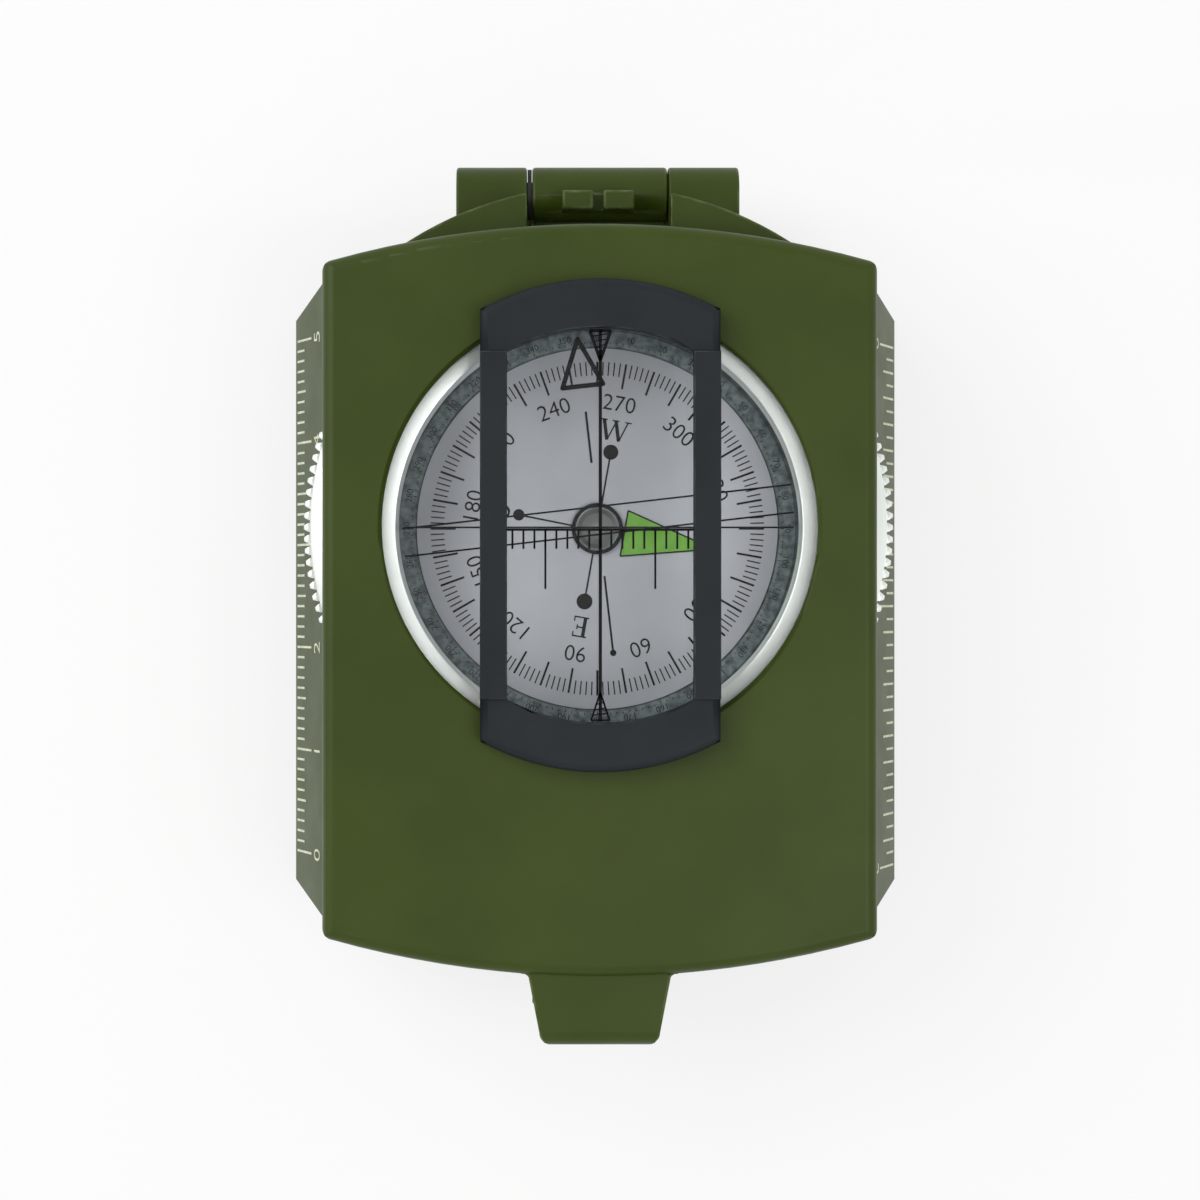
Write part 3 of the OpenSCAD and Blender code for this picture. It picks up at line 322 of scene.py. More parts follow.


# Rigid pieces: copies of the CAD solids with rounded edges, and an "edge" value for the paler edge colour,
# which is rubbed paint and a painted highlight along the roundings.

roundedEdges = {  # node, body, material slot, radius in mm
    "housing": ("base_housing", "base", "case_green", 0.3),
    "bottomCover": ("bottom_cover", "base", "cover_black", 0.25),
    "coverScrews": ("cover_screws", "base", "screw_steel", 0.08),
    "tripodInsert": ("tripod_insert", "base", "brass", 0.15),
    "hingePin": ("hinge_pin", "base", "pin_green", 0.3),
    "loopRivets": ("loop_rivets", "base", "pin_green", 0.06),
    "lidShell": ("lid_shell", "lid", "case_green", 0.25),
    "sightFrame": ("sight_frame", "lid", "sight_grey", 0.12),
    "fingerLoop": ("finger_loop", "loop", "case_green", 0.3),
    "lensCell": ("lens_cell", "lens_tube", "eyepiece_black", 0.1),
}
rounding = {"lidFace": 0.6, "faceWithin": 0.05, "fromAngle": 58, "segments": 3, "smoothBelow": 32,
            "roomShare": 0.45, "leastShare": 0.15, "mergeWithin": 0.025, "shortest": 0.01, "flatWithin": 0.15,
            "edgeColourAtBorder": 0.3}


def roomBeside(edge):  # how far the two faces reach from the edge
    room = []
    for loop in edge.link_loops:
        room.append(loop.face.calc_area() / edge.calc_length())
        after = loop.link_loop_next
        for other, corner in ((loop.link_loop_prev.edge, loop.vert), (after.edge, after.vert)):
            along = (edge.other_vert(corner).co - corner.co).normalized()
            reach = other.other_vert(corner).co - corner.co
            aside = (reach - along * reach.dot(along)).length
            if aside > reach.length * 0.5:
                room.append(aside)
    return min(room)


def edgeValue(mesh):  # 1 along the rounding's middle, 0 on the plain faces
    plain = set()
    for face in mesh.polygons:
        if face.material_index == 0:
            plain.update(face.vertices)
    # a weaker share of that edge colour (rubbed paint and painted highlight) where the rounding meets a plain
    # face
    beside = rounding["edgeColourAtBorder"]
    values = []
    for face in mesh.polygons:
        values += [0.0 if face.material_index == 0 else beside if v in plain else 1.0 for v in face.vertices]
        face.material_index = 0
    layer = mesh.attributes.new("edge", "FLOAT", "CORNER")
    layer.data.foreach_set("value", values)


def roundedCopy(name, node, radius, crown):  # crown is the radius of the edges in the top face
    work = bmesh.new()
    work.from_mesh(cadNodes[node].data)
    bmesh.ops.remove_doubles(work, verts=work.verts, dist=rounding["mergeWithin"] * mm)
    bmesh.ops.dissolve_degenerate(work, edges=work.edges, dist=rounding["shortest"] * mm)
    flat = math.radians(rounding["flatWithin"])
    bmesh.ops.dissolve_limit(work, angle_limit=flat, verts=work.verts, edges=work.edges)
    weight = work.edges.layers.float.new("bevel_weight_edge")
    top = max(vert.co.z for vert in work.verts) - rounding["faceWithin"] * mm
    sharp = math.radians(rounding["fromAngle"])
    for edge in work.edges:
        if len(edge.link_faces) == 2 and edge.is_convex and edge.calc_face_angle(0) > sharp:
            aim = crown if min(vert.co.z for vert in edge.verts) > top else radius
            width = min(rounding["roomShare"] * roomBeside(edge), aim * mm)
            wide = width > rounding["leastShare"] * radius * mm
            edge[weight] = width / (crown * mm) if wide else 0.0
    mesh = bpy.data.meshes.new(name)
    work.to_mesh(mesh)
    work.free()
    mesh.materials.append(nodeFinishes[node])
    mesh.materials.append(nodeFinishes[node])
    piece = addObject(name, mesh)
    bevel = piece.modifiers.new("rounding", "BEVEL")
    bevel.limit_method = "WEIGHT"
    bevel.width = crown * mm
    bevel.segments = rounding["segments"]
    bevel.material = 1
    bevel.use_clamp_overlap = False
    rounded = evaluated(piece)
    piece.modifiers.clear()
    rounded.shade_smooth()
    rounded.set_sharp_from_angle(angle=math.radians(rounding["smoothBelow"]))
    edgeValue(rounded)
    piece.data = rounded
    piece.modifiers.new("normals", "WEIGHTED_NORMAL").keep_sharp = True
    finished = evaluated(piece)
    piece.modifiers.clear()
    piece.data = finished
    finished.materials.clear()
    finished.materials.append(nodeFinishes[node])
    return piece


for name, (node, body, slotName, radius) in roundedEdges.items():
    piece = roundedCopy(name, node, radius, rounding["lidFace"] if name == "lidShell" else radius)
    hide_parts(node)
    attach(piece, body)
print("rigid pieces rounded:", len(roundedEdges))


# Geometry Nodes: one tree that repeats a shape round an axis, and one that draws graduation lines.

def newTree(name, sockets):
    tree = bpy.data.node_groups.new(name, "GeometryNodeTree")
    tree.interface.new_socket("Geometry", in_out="INPUT", socket_type="NodeSocketGeometry")
    tree.interface.new_socket("Geometry", in_out="OUTPUT", socket_type="NodeSocketGeometry")
    for label, kind, value in sockets:
        socket = tree.interface.new_socket(label, in_out="INPUT", socket_type=kind)
        if value is not None:
            socket.default_value = value
    return tree, tree.nodes.new("NodeGroupInput"), tree.nodes.new("NodeGroupOutput")


def makeTeethTree():
    tree, given, result = newTree("teethRound", [
        ("Count", "NodeSocketInt", 100), ("Radius", "NodeSocketFloat", 0.01),
        ("Tooth", "NodeSocketObject", None), ("Material", "NodeSocketMaterial", None)])
    circle = tree.nodes.new("GeometryNodeMeshCircle")
    place = tree.nodes.new("GeometryNodeInstanceOnPoints")
    tooth = tree.nodes.new("GeometryNodeObjectInfo")
    index = tree.nodes.new("GeometryNodeInputIndex")
    turn = tree.nodes.new("ShaderNodeCombineXYZ")
    rotation = tree.nodes.new("FunctionNodeEulerToRotation")
    realize = tree.nodes.new("GeometryNodeRealizeInstances")
    paintOn = tree.nodes.new("GeometryNodeSetMaterial")
    step = mathNode(tree, "DIVIDE", 2 * math.pi, given.outputs["Count"])
    links = tree.links
    links.new(given.outputs["Count"], circle.inputs["Vertices"])
    links.new(given.outputs["Radius"], circle.inputs["Radius"])
    links.new(given.outputs["Tooth"], tooth.inputs["Object"])
    links.new(mathNode(tree, "MULTIPLY", index.outputs[0], step), turn.inputs["Z"])
    links.new(turn.outputs[0], rotation.inputs[0])
    links.new(circle.outputs["Mesh"], place.inputs["Points"])
    links.new(tooth.outputs["Geometry"], place.inputs["Instance"])
    links.new(rotation.outputs[0], place.inputs["Rotation"])
    links.new(place.outputs["Instances"], realize.inputs["Geometry"])
    links.new(realize.outputs["Geometry"], paintOn.inputs["Geometry"])
    links.new(given.outputs["Material"], paintOn.inputs["Material"])
    links.new(paintOn.outputs["Geometry"], result.inputs[0])
    return tree


def makeLinesTree(name, onCircle):  # short, middle and long lines, all starting from one line or circle
    sockets = [("Count", "NodeSocketInt", 10), ("Middle every", "NodeSocketInt", 5),
               ("Long every", "NodeSocketInt", 10), ("Short", "NodeSocketFloat", 0.001),
               ("Middle", "NodeSocketFloat", 0.002), ("Long", "NodeSocketFloat", 0.003),
               ("Width", "NodeSocketFloat", 0.0002), ("Depth", "NodeSocketFloat", 0.00002),
               ("Material", "NodeSocketMaterial", None),
               ("Radius" if onCircle else "Spacing", "NodeSocketFloat", 0.01)]
    tree, given, result = newTree(name, sockets)
    links = tree.links
    index = tree.nodes.new("GeometryNodeInputIndex")

    def chosen(label):
        rest = mathNode(tree, "MODULO", index.outputs[0], given.outputs[label])
        return mathNode(tree, "LESS_THAN", rest, 0.5)

    middleExtra = mathNode(tree, "SUBTRACT", given.outputs["Middle"], given.outputs["Short"])
    longExtra = mathNode(tree, "SUBTRACT", given.outputs["Long"], given.outputs["Middle"])
    length = mathNode(tree, "MULTIPLY_ADD", chosen("Middle every"), middleExtra, given.outputs["Short"])
    length = mathNode(tree, "MULTIPLY_ADD", chosen("Long every"), longExtra, length)
    bar = tree.nodes.new("GeometryNodeMeshCube")
    bar.inputs["Size"].default_value = (1, 1, 1)
    shift = tree.nodes.new("GeometryNodeTransform")
    shift.inputs["Translation"].default_value = (-0.5, 0, 0)
    size = tree.nodes.new("ShaderNodeCombineXYZ")
    place = tree.nodes.new("GeometryNodeInstanceOnPoints")
    realize = tree.nodes.new("GeometryNodeRealizeInstances")
    paintOn = tree.nodes.new("GeometryNodeSetMaterial")
    if onCircle:
        points = tree.nodes.new("GeometryNodeMeshCircle")
        links.new(given.outputs["Count"], points.inputs["Vertices"])
        links.new(given.outputs["Radius"], points.inputs["Radius"])
        turn = tree.nodes.new("ShaderNodeCombineXYZ")
        rotation = tree.nodes.new("FunctionNodeEulerToRotation")
        step = mathNode(tree, "DIVIDE", 2 * math.pi, given.outputs["Count"])
        links.new(mathNode(tree, "MULTIPLY", index.outputs[0], step), turn.inputs["Z"])
        links.new(turn.outputs[0], rotation.inputs[0])
        links.new(rotation.outputs[0], place.inputs["Rotation"])
    else:
        points = tree.nodes.new("GeometryNodeMeshLine")
        offset = tree.nodes.new("ShaderNodeCombineXYZ")
        links.new(given.outputs["Spacing"], offset.inputs["Y"])
        links.new(given.outputs["Count"], points.inputs["Count"])
        links.new(offset.outputs[0], points.inputs["Offset"])
    links.new(length, size.inputs["X"])
    links.new(given.outputs["Width"], size.inputs["Y"])
    links.new(given.outputs["Depth"], size.inputs["Z"])
    links.new(bar.outputs["Mesh"], shift.inputs["Geometry"])
    links.new(points.outputs["Mesh"], place.inputs["Points"])
    links.new(shift.outputs["Geometry"], place.inputs["Instance"])
    links.new(size.outputs[0], place.inputs["Scale"])
    links.new(place.outputs["Instances"], realize.inputs["Geometry"])
    links.new(realize.outputs["Geometry"], paintOn.inputs["Geometry"])
    links.new(given.outputs["Material"], paintOn.inputs["Material"])
    links.new(paintOn.outputs["Geometry"], result.inputs[0])
    return tree


def grown(name, tree, values):  # runs a tree with these inputs and keeps the plain mesh
    piece = addObject(name, bpy.data.meshes.new(name))
    modifier = piece.modifiers.new("nodes", "NODES")
    modifier.node_group = tree
    for item in tree.interface.items_tree:
        if item.item_type == "SOCKET" and item.in_out == "INPUT" and item.name in values:
            modifier[item.identifier] = values[item.name]
    mesh = evaluated(piece)
    bpy.data.objects.remove(piece)
    return mesh


def joinMeshes(name, meshes, material):
    work = bmesh.new()
    for mesh in meshes:
        work.from_mesh(mesh)
    mesh = bpy.data.meshes.new(name)
    work.to_mesh(mesh)
    work.free()
    for old in meshes:
        bpy.data.meshes.remove(old)
    return addObject(name, mesh, material)


def settle(piece, body, slotName, *replaced):
    if replaced:
        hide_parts(*replaced)
    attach(piece, body)
    return piece


teethTree = makeTeethTree()
circleTree = makeLinesTree("linesRound", True)
straightTree = makeLinesTree("linesAlong", False)


# Bezel: a turned ring with a rounded cone, and flat-topped ridges round its rim.

bezel = {"ridges": 156, "ridgeWidth": 0.5, "ridgeFoot": 0.9, "rootRadius": 27.04, "rimRadius": 27.59,
         "ridgeLow": 17.2, "ridgeHigh": 21.2, "chamfer": 0.16, "coneFoot": (26.85, 21.3),
         "coneTop": (21.25, 23.52), "coneBulge": 0.19, "coneSteps": 12}
toothForm = {"sunk": 0.15, "endReach": 0.35, "shoulder": 0.75, "shoulderOut": 0.02, "crestIn": 0.06}


def makeTooth(name, reach, foot, crest, low, high, chamfer):  # ridge along Z that stands out in +X
    work = bmesh.new()
    short = reach * toothForm["endReach"]
    levels = [(low, short), (low + chamfer, reach), (high - chamfer, reach), (high, short)]
    sunk, shoulder = -toothForm["sunk"], toothForm["shoulder"]
    rows = []
    for z, out in levels:
        half = foot / 2 + (crest - foot) / 2 * out / reach
        wide, narrow = half + toothForm["shoulderOut"], half - toothForm["crestIn"]
        profile = [(sunk, -foot / 2), (out * shoulder, -wide), (out, -narrow),
                   (out, narrow), (out * shoulder, wide), (sunk, foot / 2)]
        rows.append([work.verts.new((x, y, z)) for x, y in profile])
    for a, b in zip(rows, rows[1:]):
        for k in range(len(a)):
            n = (k + 1) % len(a)
            work.faces.new((a[k], a[n], b[n], b[k]))
    work.faces.new(list(reversed(rows[0])))
    work.faces.new(rows[-1])
    return addObject(name, meshFrom(name, work, 50))


def conePoints(start, end, bulge, steps):
    start, end = Vector(start), Vector(end)
    side = (end - start).orthogonal().normalized()
    side = side if side.y > 0 else -side
    middle = (start + end) / 2 + side * bulge * 2
    shares = [i / steps for i in range(steps + 1)]
    return [tuple(start * (1 - t) ** 2 + middle * 2 * t * (1 - t) + end * t * t) for t in shares]


bezelProfile = [
    (23.48, 16.3), (26.45, 16.3), (26.65, 16.38), (26.72, 16.6), (26.72, 17.1), (26.8, 17.25), (27.02, 17.3),
    (27.02, 21.1), (26.95, 21.22)]
bezelProfile += conePoints(bezel["coneFoot"], bezel["coneTop"], bezel["coneBulge"], bezel["coneSteps"])
bezelProfile += [
    (21.1, 23.57), (20.9, 23.6), (19.05, 23.6), (18.92, 23.56), (18.85, 23.46), (18.6, 22.7), (20.4, 22.7),
    (20.4, 20.9), (23.48, 20.9), (23.48, 18.85), (24.0, 18.85), (24.0, 18.05), (23.48, 18.05)]
onDialAxis = Matrix.Translation((*dialCentre, 0))
bezelBody = revolved("bezelBody", bezelProfile, 256, onDialAxis, 24)
tooth = makeTooth("tooth", bezel["rimRadius"] - bezel["rootRadius"], bezel["ridgeFoot"], bezel["ridgeWidth"],
                  bezel["ridgeLow"], bezel["ridgeHigh"], bezel["chamfer"])
ridges = grown("bezelRidges", teethTree, {"Count": bezel["ridges"], "Radius": bezel["rootRadius"] * mm,
                                          "Tooth": tooth, "Material": silver})
bpy.data.objects.remove(tooth)
ridges.transform(Matrix.Translation((dialCentre[0] * mm, dialCentre[1] * mm, 0)))
settle(addObject("bezelRing", bezelBody, silver), "bezel", "bezel_silver", "bezel_ring")
settle(addObject("bezelRidges", ridges, silver), "bezel", "bezel_silver")
print("bezel made:", bezel["ridges"], "ridges")


# Focus knob of the eyepiece: a turned body with ribs round it.

knob = {"ribs": 38, "ribWidth": 0.46, "ribFoot": 0.74, "rootRadius": 5.9, "rimRadius": 6.2, "ribLow": 35.05,
        "ribHigh": 39.1, "chamfer": 0.3, "axisHeight": 11.9}
knobProfile = [  # radius and distance towards the eye
    (3.75, 34.9), (5.6, 34.9), (5.82, 34.98), (5.9, 35.2), (5.9, 39.0), (5.84, 39.25), (5.66, 39.48),
    (5.4, 39.58), (5.2, 39.6), (4.45, 39.6), (4.34, 39.56), (4.3, 39.45), (4.3, 39.1), (4.75, 39.1),
    (4.75, 36.8), (3.75, 36.8)]
lyingDown = Matrix.Rotation(math.radians(90), 4, "X")
knobPlace = Matrix.Translation((0, 0, knob["axisHeight"])) @ lyingDown
knobBody = revolved("knobBody", knobProfile, 128, knobPlace)
rib = makeTooth("rib", knob["rimRadius"] - knob["rootRadius"], knob["ribFoot"], knob["ribWidth"],
                knob["ribLow"], knob["ribHigh"], knob["chamfer"])
ribs = grown("knobRibs", teethTree, {"Count": knob["ribs"], "Radius": knob["rootRadius"] * mm,
                                     "Tooth": rib, "Material": knobBlack})
bpy.data.objects.remove(rib)
ribs.transform(Matrix.Translation((0, 0, knob["axisHeight"] * mm)) @ lyingDown)
settle(addObject("focusKnob", knobBody, knobBlack), "focus_knob", "eyepiece_black", "focus_ring")
settle(addObject("focusKnobRibs", ribs, knobBlack), "focus_knob", "eyepiece_black")
print("focus knob made:", knob["ribs"], "ribs")


# Card: degree lines, numbers, letters and dots, printed on its face.

card = {"top": 15.13, "turn": 100, "depth": 0.025, "sunk": 0.01,
        "face": [(2.55, 15.1), (17.2, 15.1), (17.22, 15.11), (17.2, 15.13), (2.55, 15.13)],
        "tickOut": 15.9, "ticks": ((180, 1.3, 0.12), (36, 2.4, 0.2)),  # count, length, width
        "numberStep": 30, "numberRadius": 12.0, "numberHeight": 1.55, "numberWeight": -0.012,
        "letters": (("E", 90), ("S", 180), ("W", 270)), "letterRadius": 9.5, "letterHeight": 1.95,
        "dots": ((90, 7.05, 0.76, 0), (180, 7.6, 0.55, 3), (270, 7.4, 0.72, 0)),  # degrees, place, size, lean
        "lineFrom": 2.3, "lineWidth": 0.17, "pointerLine": 0.14, "pointerHeight": 0.14,
        "pointer": [(-2.2, 2.6), (2.2, 2.6), (0.44, 9.5), (-0.44, 9.5)]}
serifLetters = {  # strokes of width for a letter 1 high, its foot at 0
    "W": [((-0.6, 1), (-0.3, 0), 0.17), ((-0.3, 0), (0.0, 0.9), 0.07), ((-0.02, 1), (0.28, 0), 0.17),
          ((0.28, 0), (0.6, 1), 0.07), ((-0.78, 0.97), (-0.42, 0.97), 0.06),
          ((-0.18, 0.97), (0.16, 0.97), 0.06), ((0.44, 0.97), (0.78, 0.97), 0.06)],
    "E": [((-0.2, 0), (-0.2, 1), 0.17), ((-0.38, 0.97), (0.32, 0.97), 0.07),
          ((-0.2, 0.52), (0.14, 0.52), 0.07), ((-0.38, 0.03), (0.34, 0.03), 0.07),
          ((0.3, 1), (0.3, 0.76), 0.06), ((0.32, 0), (0.32, 0.26), 0.06), ((0.14, 0.64), (0.14, 0.4), 0.06)],
    "S": [((0.27, 0.76), (0.17, 0.93), 0.1), ((0.17, 0.93), (-0.04, 0.99), 0.1),
          ((-0.04, 0.99), (-0.24, 0.9), 0.12), ((-0.24, 0.9), (-0.26, 0.7), 0.14),
          ((-0.26, 0.7), (-0.12, 0.56), 0.16), ((-0.12, 0.56), (0.14, 0.45), 0.17),
          ((0.14, 0.45), (0.28, 0.3), 0.16), ((0.28, 0.3), (0.24, 0.1), 0.14),
          ((0.24, 0.1), (0.04, 0.01), 0.12), ((0.04, 0.01), (-0.18, 0.06), 0.1),
          ((-0.18, 0.06), (-0.28, 0.26), 0.1)],
}


def addLetter(work, letter, height, place, low, high):
    for start, end, width in serifLetters[letter]:
        points = [place @ Vector((x * height, (y - 0.5) * height, 0)) for x, y in (start, end)]
        addStroke(work, points[0].xy, points[1].xy, width * height, low, high)


def makeCardPrint():
    cardFace = addObject("cardFace", revolved("cardFace", card["face"], 192, onDialAxis), cardWhite)
    settle(cardFace, "card", "card_white")
    low, high = card["top"] - card["sunk"], card["top"] + card["depth"]
    work = bmesh.new()
    for degrees in range(card["numberStep"], 360, card["numberStep"]):
        place = dialPlace(card["numberRadius"], card["turn"] + degrees, card["top"])
        addWords(work, str(degrees), card["numberHeight"], place, card["numberWeight"], card["depth"] * 2)
    for letter, degrees in card["letters"]:
        place = dialPlace(card["letterRadius"], card["turn"] + degrees, 0)
        addLetter(work, letter, card["letterHeight"], place, low, high)
    for degrees, radius, size, lean in card["dots"]:
        angle = card["turn"] + degrees
        addDisc(work, onDial(radius, angle), size, low, high)
        start, end = onDial(card["lineFrom"], angle - lean), onDial(radius, angle)
        addStroke(work, start, end, card["lineWidth"], low, high)
    turn = Matrix.Rotation(math.radians(-card["turn"]), 4, "Z")
    corners = [turn.to_2x2() @ Vector(corner) + Vector(dialCentre) for corner in card["pointer"]]
    for start, end in zip(corners, corners[1:] + corners[:1]):
        addStroke(work, start, end, card["pointerLine"], low, card["top"] + card["pointerHeight"])
    printed = [meshFrom("cardWords", work)]
    for count, length, width in card["ticks"]:
        lines = grown("cardLines", circleTree, {
            "Count": count, "Radius": card["tickOut"] * mm, "Short": length * mm, "Middle": length * mm,
            "Long": length * mm, "Width": width * mm, "Depth": card["depth"] * 2 * mm, "Material": blackInk})
        lines.transform(Matrix.Translation((dialCentre[0] * mm, dialCentre[1] * mm, card["top"] * mm)) @ turn)
        printed.append(lines)
    settle(joinMeshes("cardPrint", printed, blackInk), "card", "card_white")


makeCardPrint()


# Hub: a black collar, a bright dish, and a domed clear cap over it.

hub = {"sides": 96,
       "collar": [(2.08, 15.1), (2.44, 15.1), (2.44, 15.5), (2.36, 15.58), (2.16, 15.58), (2.08, 15.5)],
       "dish": [(0, 15.2), (0.4, 15.2), (0.48, 15.15), (1.2, 15.15), (1.28, 15.19), (1.42, 15.19),
                (1.9, 15.48), (2.09, 15.48), (2.09, 15.1), (0, 15.1)],
       "dome": [(0, 15.99), (0.5, 15.98), (1.0, 15.93), (1.5, 15.83), (1.85, 15.7), (2.02, 15.6),
                (2.05, 15.55), (2.0, 15.52), (0, 15.52)]}


def makeHubPart(name, profile, material):
    return addObject(name, revolved(name, profile, hub["sides"], onDialAxis), material)


settle(makeHubPart("hubCollar", hub["collar"], blackInk), "card", "eyepiece_black")
settle(makeHubPart("hubDish", hub["dish"], silver), "card", "bezel_silver")
hubDome = makeHubPart("hubDome", hub["dome"], clearPlastic)
hubDome.visible_shadow = False
hubDome.visible_diffuse = False
settle(hubDome, "card", "clear_plastic", "hub_cap")
print("card printed")


# Scale ring: small numbers on the mottled ring round the card.

ringPrint = {"height": 15.2, "depth": 0.03, "numberStep": 10, "numberRadius": 18.15, "numberHeight": 0.62,
             "numberWeight": -0.006, "lines": 180, "lineRadius": 17.78, "short": 0.18, "long": 0.3,
             "lineWidth": 0.07}


def makeRingPrint():
    work = bmesh.new()
    for degrees in range(0, 360, ringPrint["numberStep"]):
        place = dialPlace(ringPrint["numberRadius"], degrees, ringPrint["height"])
        addWords(work, str(degrees), ringPrint["numberHeight"], place, ringPrint["numberWeight"],
                 ringPrint["depth"])
    lines = grown("ringLines", circleTree, {
        "Count": ringPrint["lines"], "Middle every": 5, "Long every": 5,
        "Radius": ringPrint["lineRadius"] * mm, "Short": ringPrint["short"] * mm,
        "Middle": ringPrint["long"] * mm, "Long": ringPrint["long"] * mm,
        "Width": ringPrint["lineWidth"] * mm, "Depth": ringPrint["depth"] * mm, "Material": blackInk})
    place = (dialCentre[0] * mm, dialCentre[1] * mm, ringPrint["height"] * mm)
    lines.transform(Matrix.Translation(place))
    piece = joinMeshes("ringPrint", [meshFrom("ringWords", work), lines], blackInk)
    settle(piece, "base", "ring_grey")


makeRingPrint()


# Lines on the panes: one line on the capsule, an arrow and a pair of lines on the bezel's glass, and the
# hairline and cross scale on the sight.

inkOnGlass = {"depth": 0.02, "sunk": 0.005}
capsuleLine = {"height": 20.6, "half": 18.3, "width": 0.17}
bezelLines = {"height": 22.7, "turn": -6.5,
              "arrow": [(0, 17.6), (1.9, 13.2), (-1.9, 13.2)], "arrowLine": 0.44,
              "strokes": (((0, 6.0), (0, 10.8), 0.22), ((0, -4.6), (0, -11.8), 0.2)),
              "dot": (0, -11.8), "dotRadius": 0.3, "pair": (1.9, -0.7), "pairHalf": 18.2, "pairWidth": 0.17}
sightLines = {"height": 29.5, "half": 17.8, "hairline": 0.3,
              "ends": (([(-0.95, 17.7), (0.95, 17.7), (0, 15.0)], 0.3),
                       ([(-0.85, -17.75), (0.85, -17.75), (0, -15.2)], 0.18)),
              "hatches": 4, "hatchReach": 0.75, "hatchLess": 0.19, "hatchStep": 0.5, "hatchLine": 0.12,
              "hatchEnds": ((17.2, 17.45, -1), (-17.3, -17.1, 1)),  # left, right, way inwards
              "scaleAt": -0.4, "scaleHalf": 8.5, "scaleLine": 0.22, "ticks": 17, "tickLength": 1.75,
              "tickWidth": 0.19, "tickDepth": 0.025, "longTicks": (-5, 5), "longTo": -5.8}


def inkLevels(height):
    return height - inkOnGlass["sunk"], height + inkOnGlass["depth"]


def makeCapsuleLine():
    low, high = inkLevels(capsuleLine["height"])
    half, y = capsuleLine["half"], dialCentre[1]
    work = bmesh.new()
    addStroke(work, (-half, y), (half, y), capsuleLine["width"], low, high)
    settle(addObject("crystalLine", meshFrom("crystalLine", work), blackInk), "base", "clear_glass")


def makeBezelLines():
    low, high = inkLevels(bezelLines["height"])
    work = bmesh.new()
    turn = Matrix.Rotation(math.radians(-bezelLines["turn"]), 2)

    def turned(x, y):
        return turn @ Vector((x, y)) + Vector(dialCentre)

    arrow = [turned(*corner) for corner in bezelLines["arrow"]]
    addPath(work, arrow + arrow[:1], bezelLines["arrowLine"], low, high)
    for corner in arrow:
        addDisc(work, corner, bezelLines["arrowLine"] / 2, low, high, 16)
    for start, end, width in bezelLines["strokes"]:
        addStroke(work, turned(*start), turned(*end), width, low, high)
    addDisc(work, turned(*bezelLines["dot"]), bezelLines["dotRadius"], low, high, 24)
    half = bezelLines["pairHalf"]
    for y in bezelLines["pair"]:
        addStroke(work, turned(-half, y), turned(half, y), bezelLines["pairWidth"], low, high)
    settle(addObject("bezelLines", meshFrom("bezelLines", work), blackInk), "bezel", "clear_glass")


def makeSightLines():
    low, high = inkLevels(sightLines["height"])
    work = bmesh.new()
    y = dialCentre[1]
    end = sightLines["half"]
    addStroke(work, (0, y - end), (0, y + end), sightLines["hairline"], low, high)
    for corners, width in sightLines["ends"]:
        path = [(x, y + up) for x, up in corners + corners[:1]]
        addPath(work, path, width, low, high)
    for k in range(sightLines["hatches"]):
        reach = sightLines["hatchReach"] - sightLines["hatchLess"] * k
        for left, right, way in sightLines["hatchEnds"]:
            at = y + way * sightLines["hatchStep"] * k
            addStroke(work, (-reach, at + left), (reach, at + right), sightLines["hatchLine"], low, high)
    level, half = y + sightLines["scaleAt"], sightLines["scaleHalf"]
    addStroke(work, (-half, level), (half, level), sightLines["scaleLine"], low, high)
    length = sightLines["tickLength"] * mm
    lines = grown("sightLines", straightTree, {
        "Count": sightLines["ticks"], "Middle every": 5, "Long every": 5, "Spacing": 1 * mm,
        "Short": length, "Middle": length, "Long": length, "Width": sightLines["tickWidth"] * mm,
        "Depth": sightLines["tickDepth"] * mm, "Material": blackInk})
    first = ((sightLines["ticks"] - 1) / 2 * mm, level * mm, (low + sightLines["tickDepth"] / 2) * mm)
    lines.transform(Matrix.Translation(first) @ Matrix.Rotation(math.radians(90), 4, "Z"))
    for x in sightLines["longTicks"]:
        addStroke(work, (x, level), (x, y + sightLines["longTo"]), sightLines["tickWidth"], low, high)
    piece = joinMeshes("sightLines", [meshFrom("sightWords", work), lines], blackInk)
    settle(piece, "lid", "clear_glass")


makeCapsuleLine()
makeBezelLines()
makeSightLines()
print("panes printed")


# Rulers on the two sloping sides: inches on one side, centimetres on the other.

rulers = {"foot": 6.05, "halfAtParting": 25.5, "parting": 16.1, "halfAtRidge": 29.5, "ridge": 5.5,
          "ink": 0.02, "line": 0.22, "digit": 1.95, "digitAt": 12.3, "digitWeight": -0.02}
inchScale = {"side": 1, "start": 24.8, "spacing": -25.4 / 20, "count": 41, "every": (2, 20),
             "lengths": (2.4, 3.6, 4.8), "digits": 3}
centimetreScale = {"side": -1, "start": -24.6, "spacing": 1.0, "count": 51, "every": (5, 10),
                   "lengths": (2.2, 2.6, 4.4), "digits": 6}


def slopeMatrix(side):  # local X up the slope, local Y to the left as it is looked at, local Z out of it
    inwards = rulers["halfAtParting"] - rulers["halfAtRidge"]
    rise = Vector((side * inwards, 0, rulers["parting"] - rulers["ridge"])).normalized()
    left = Vector((0, -side, 0))
    start = Vector((side * rulers["halfAtRidge"], 0, rulers["ridge"]))
    start += rise * (rulers["foot"] - rulers["ridge"]) / rise.z
    matrix = Matrix((rise, left, rise.cross(left))).transposed().to_4x4()
    matrix.translation = start * mm
    return matrix, rise


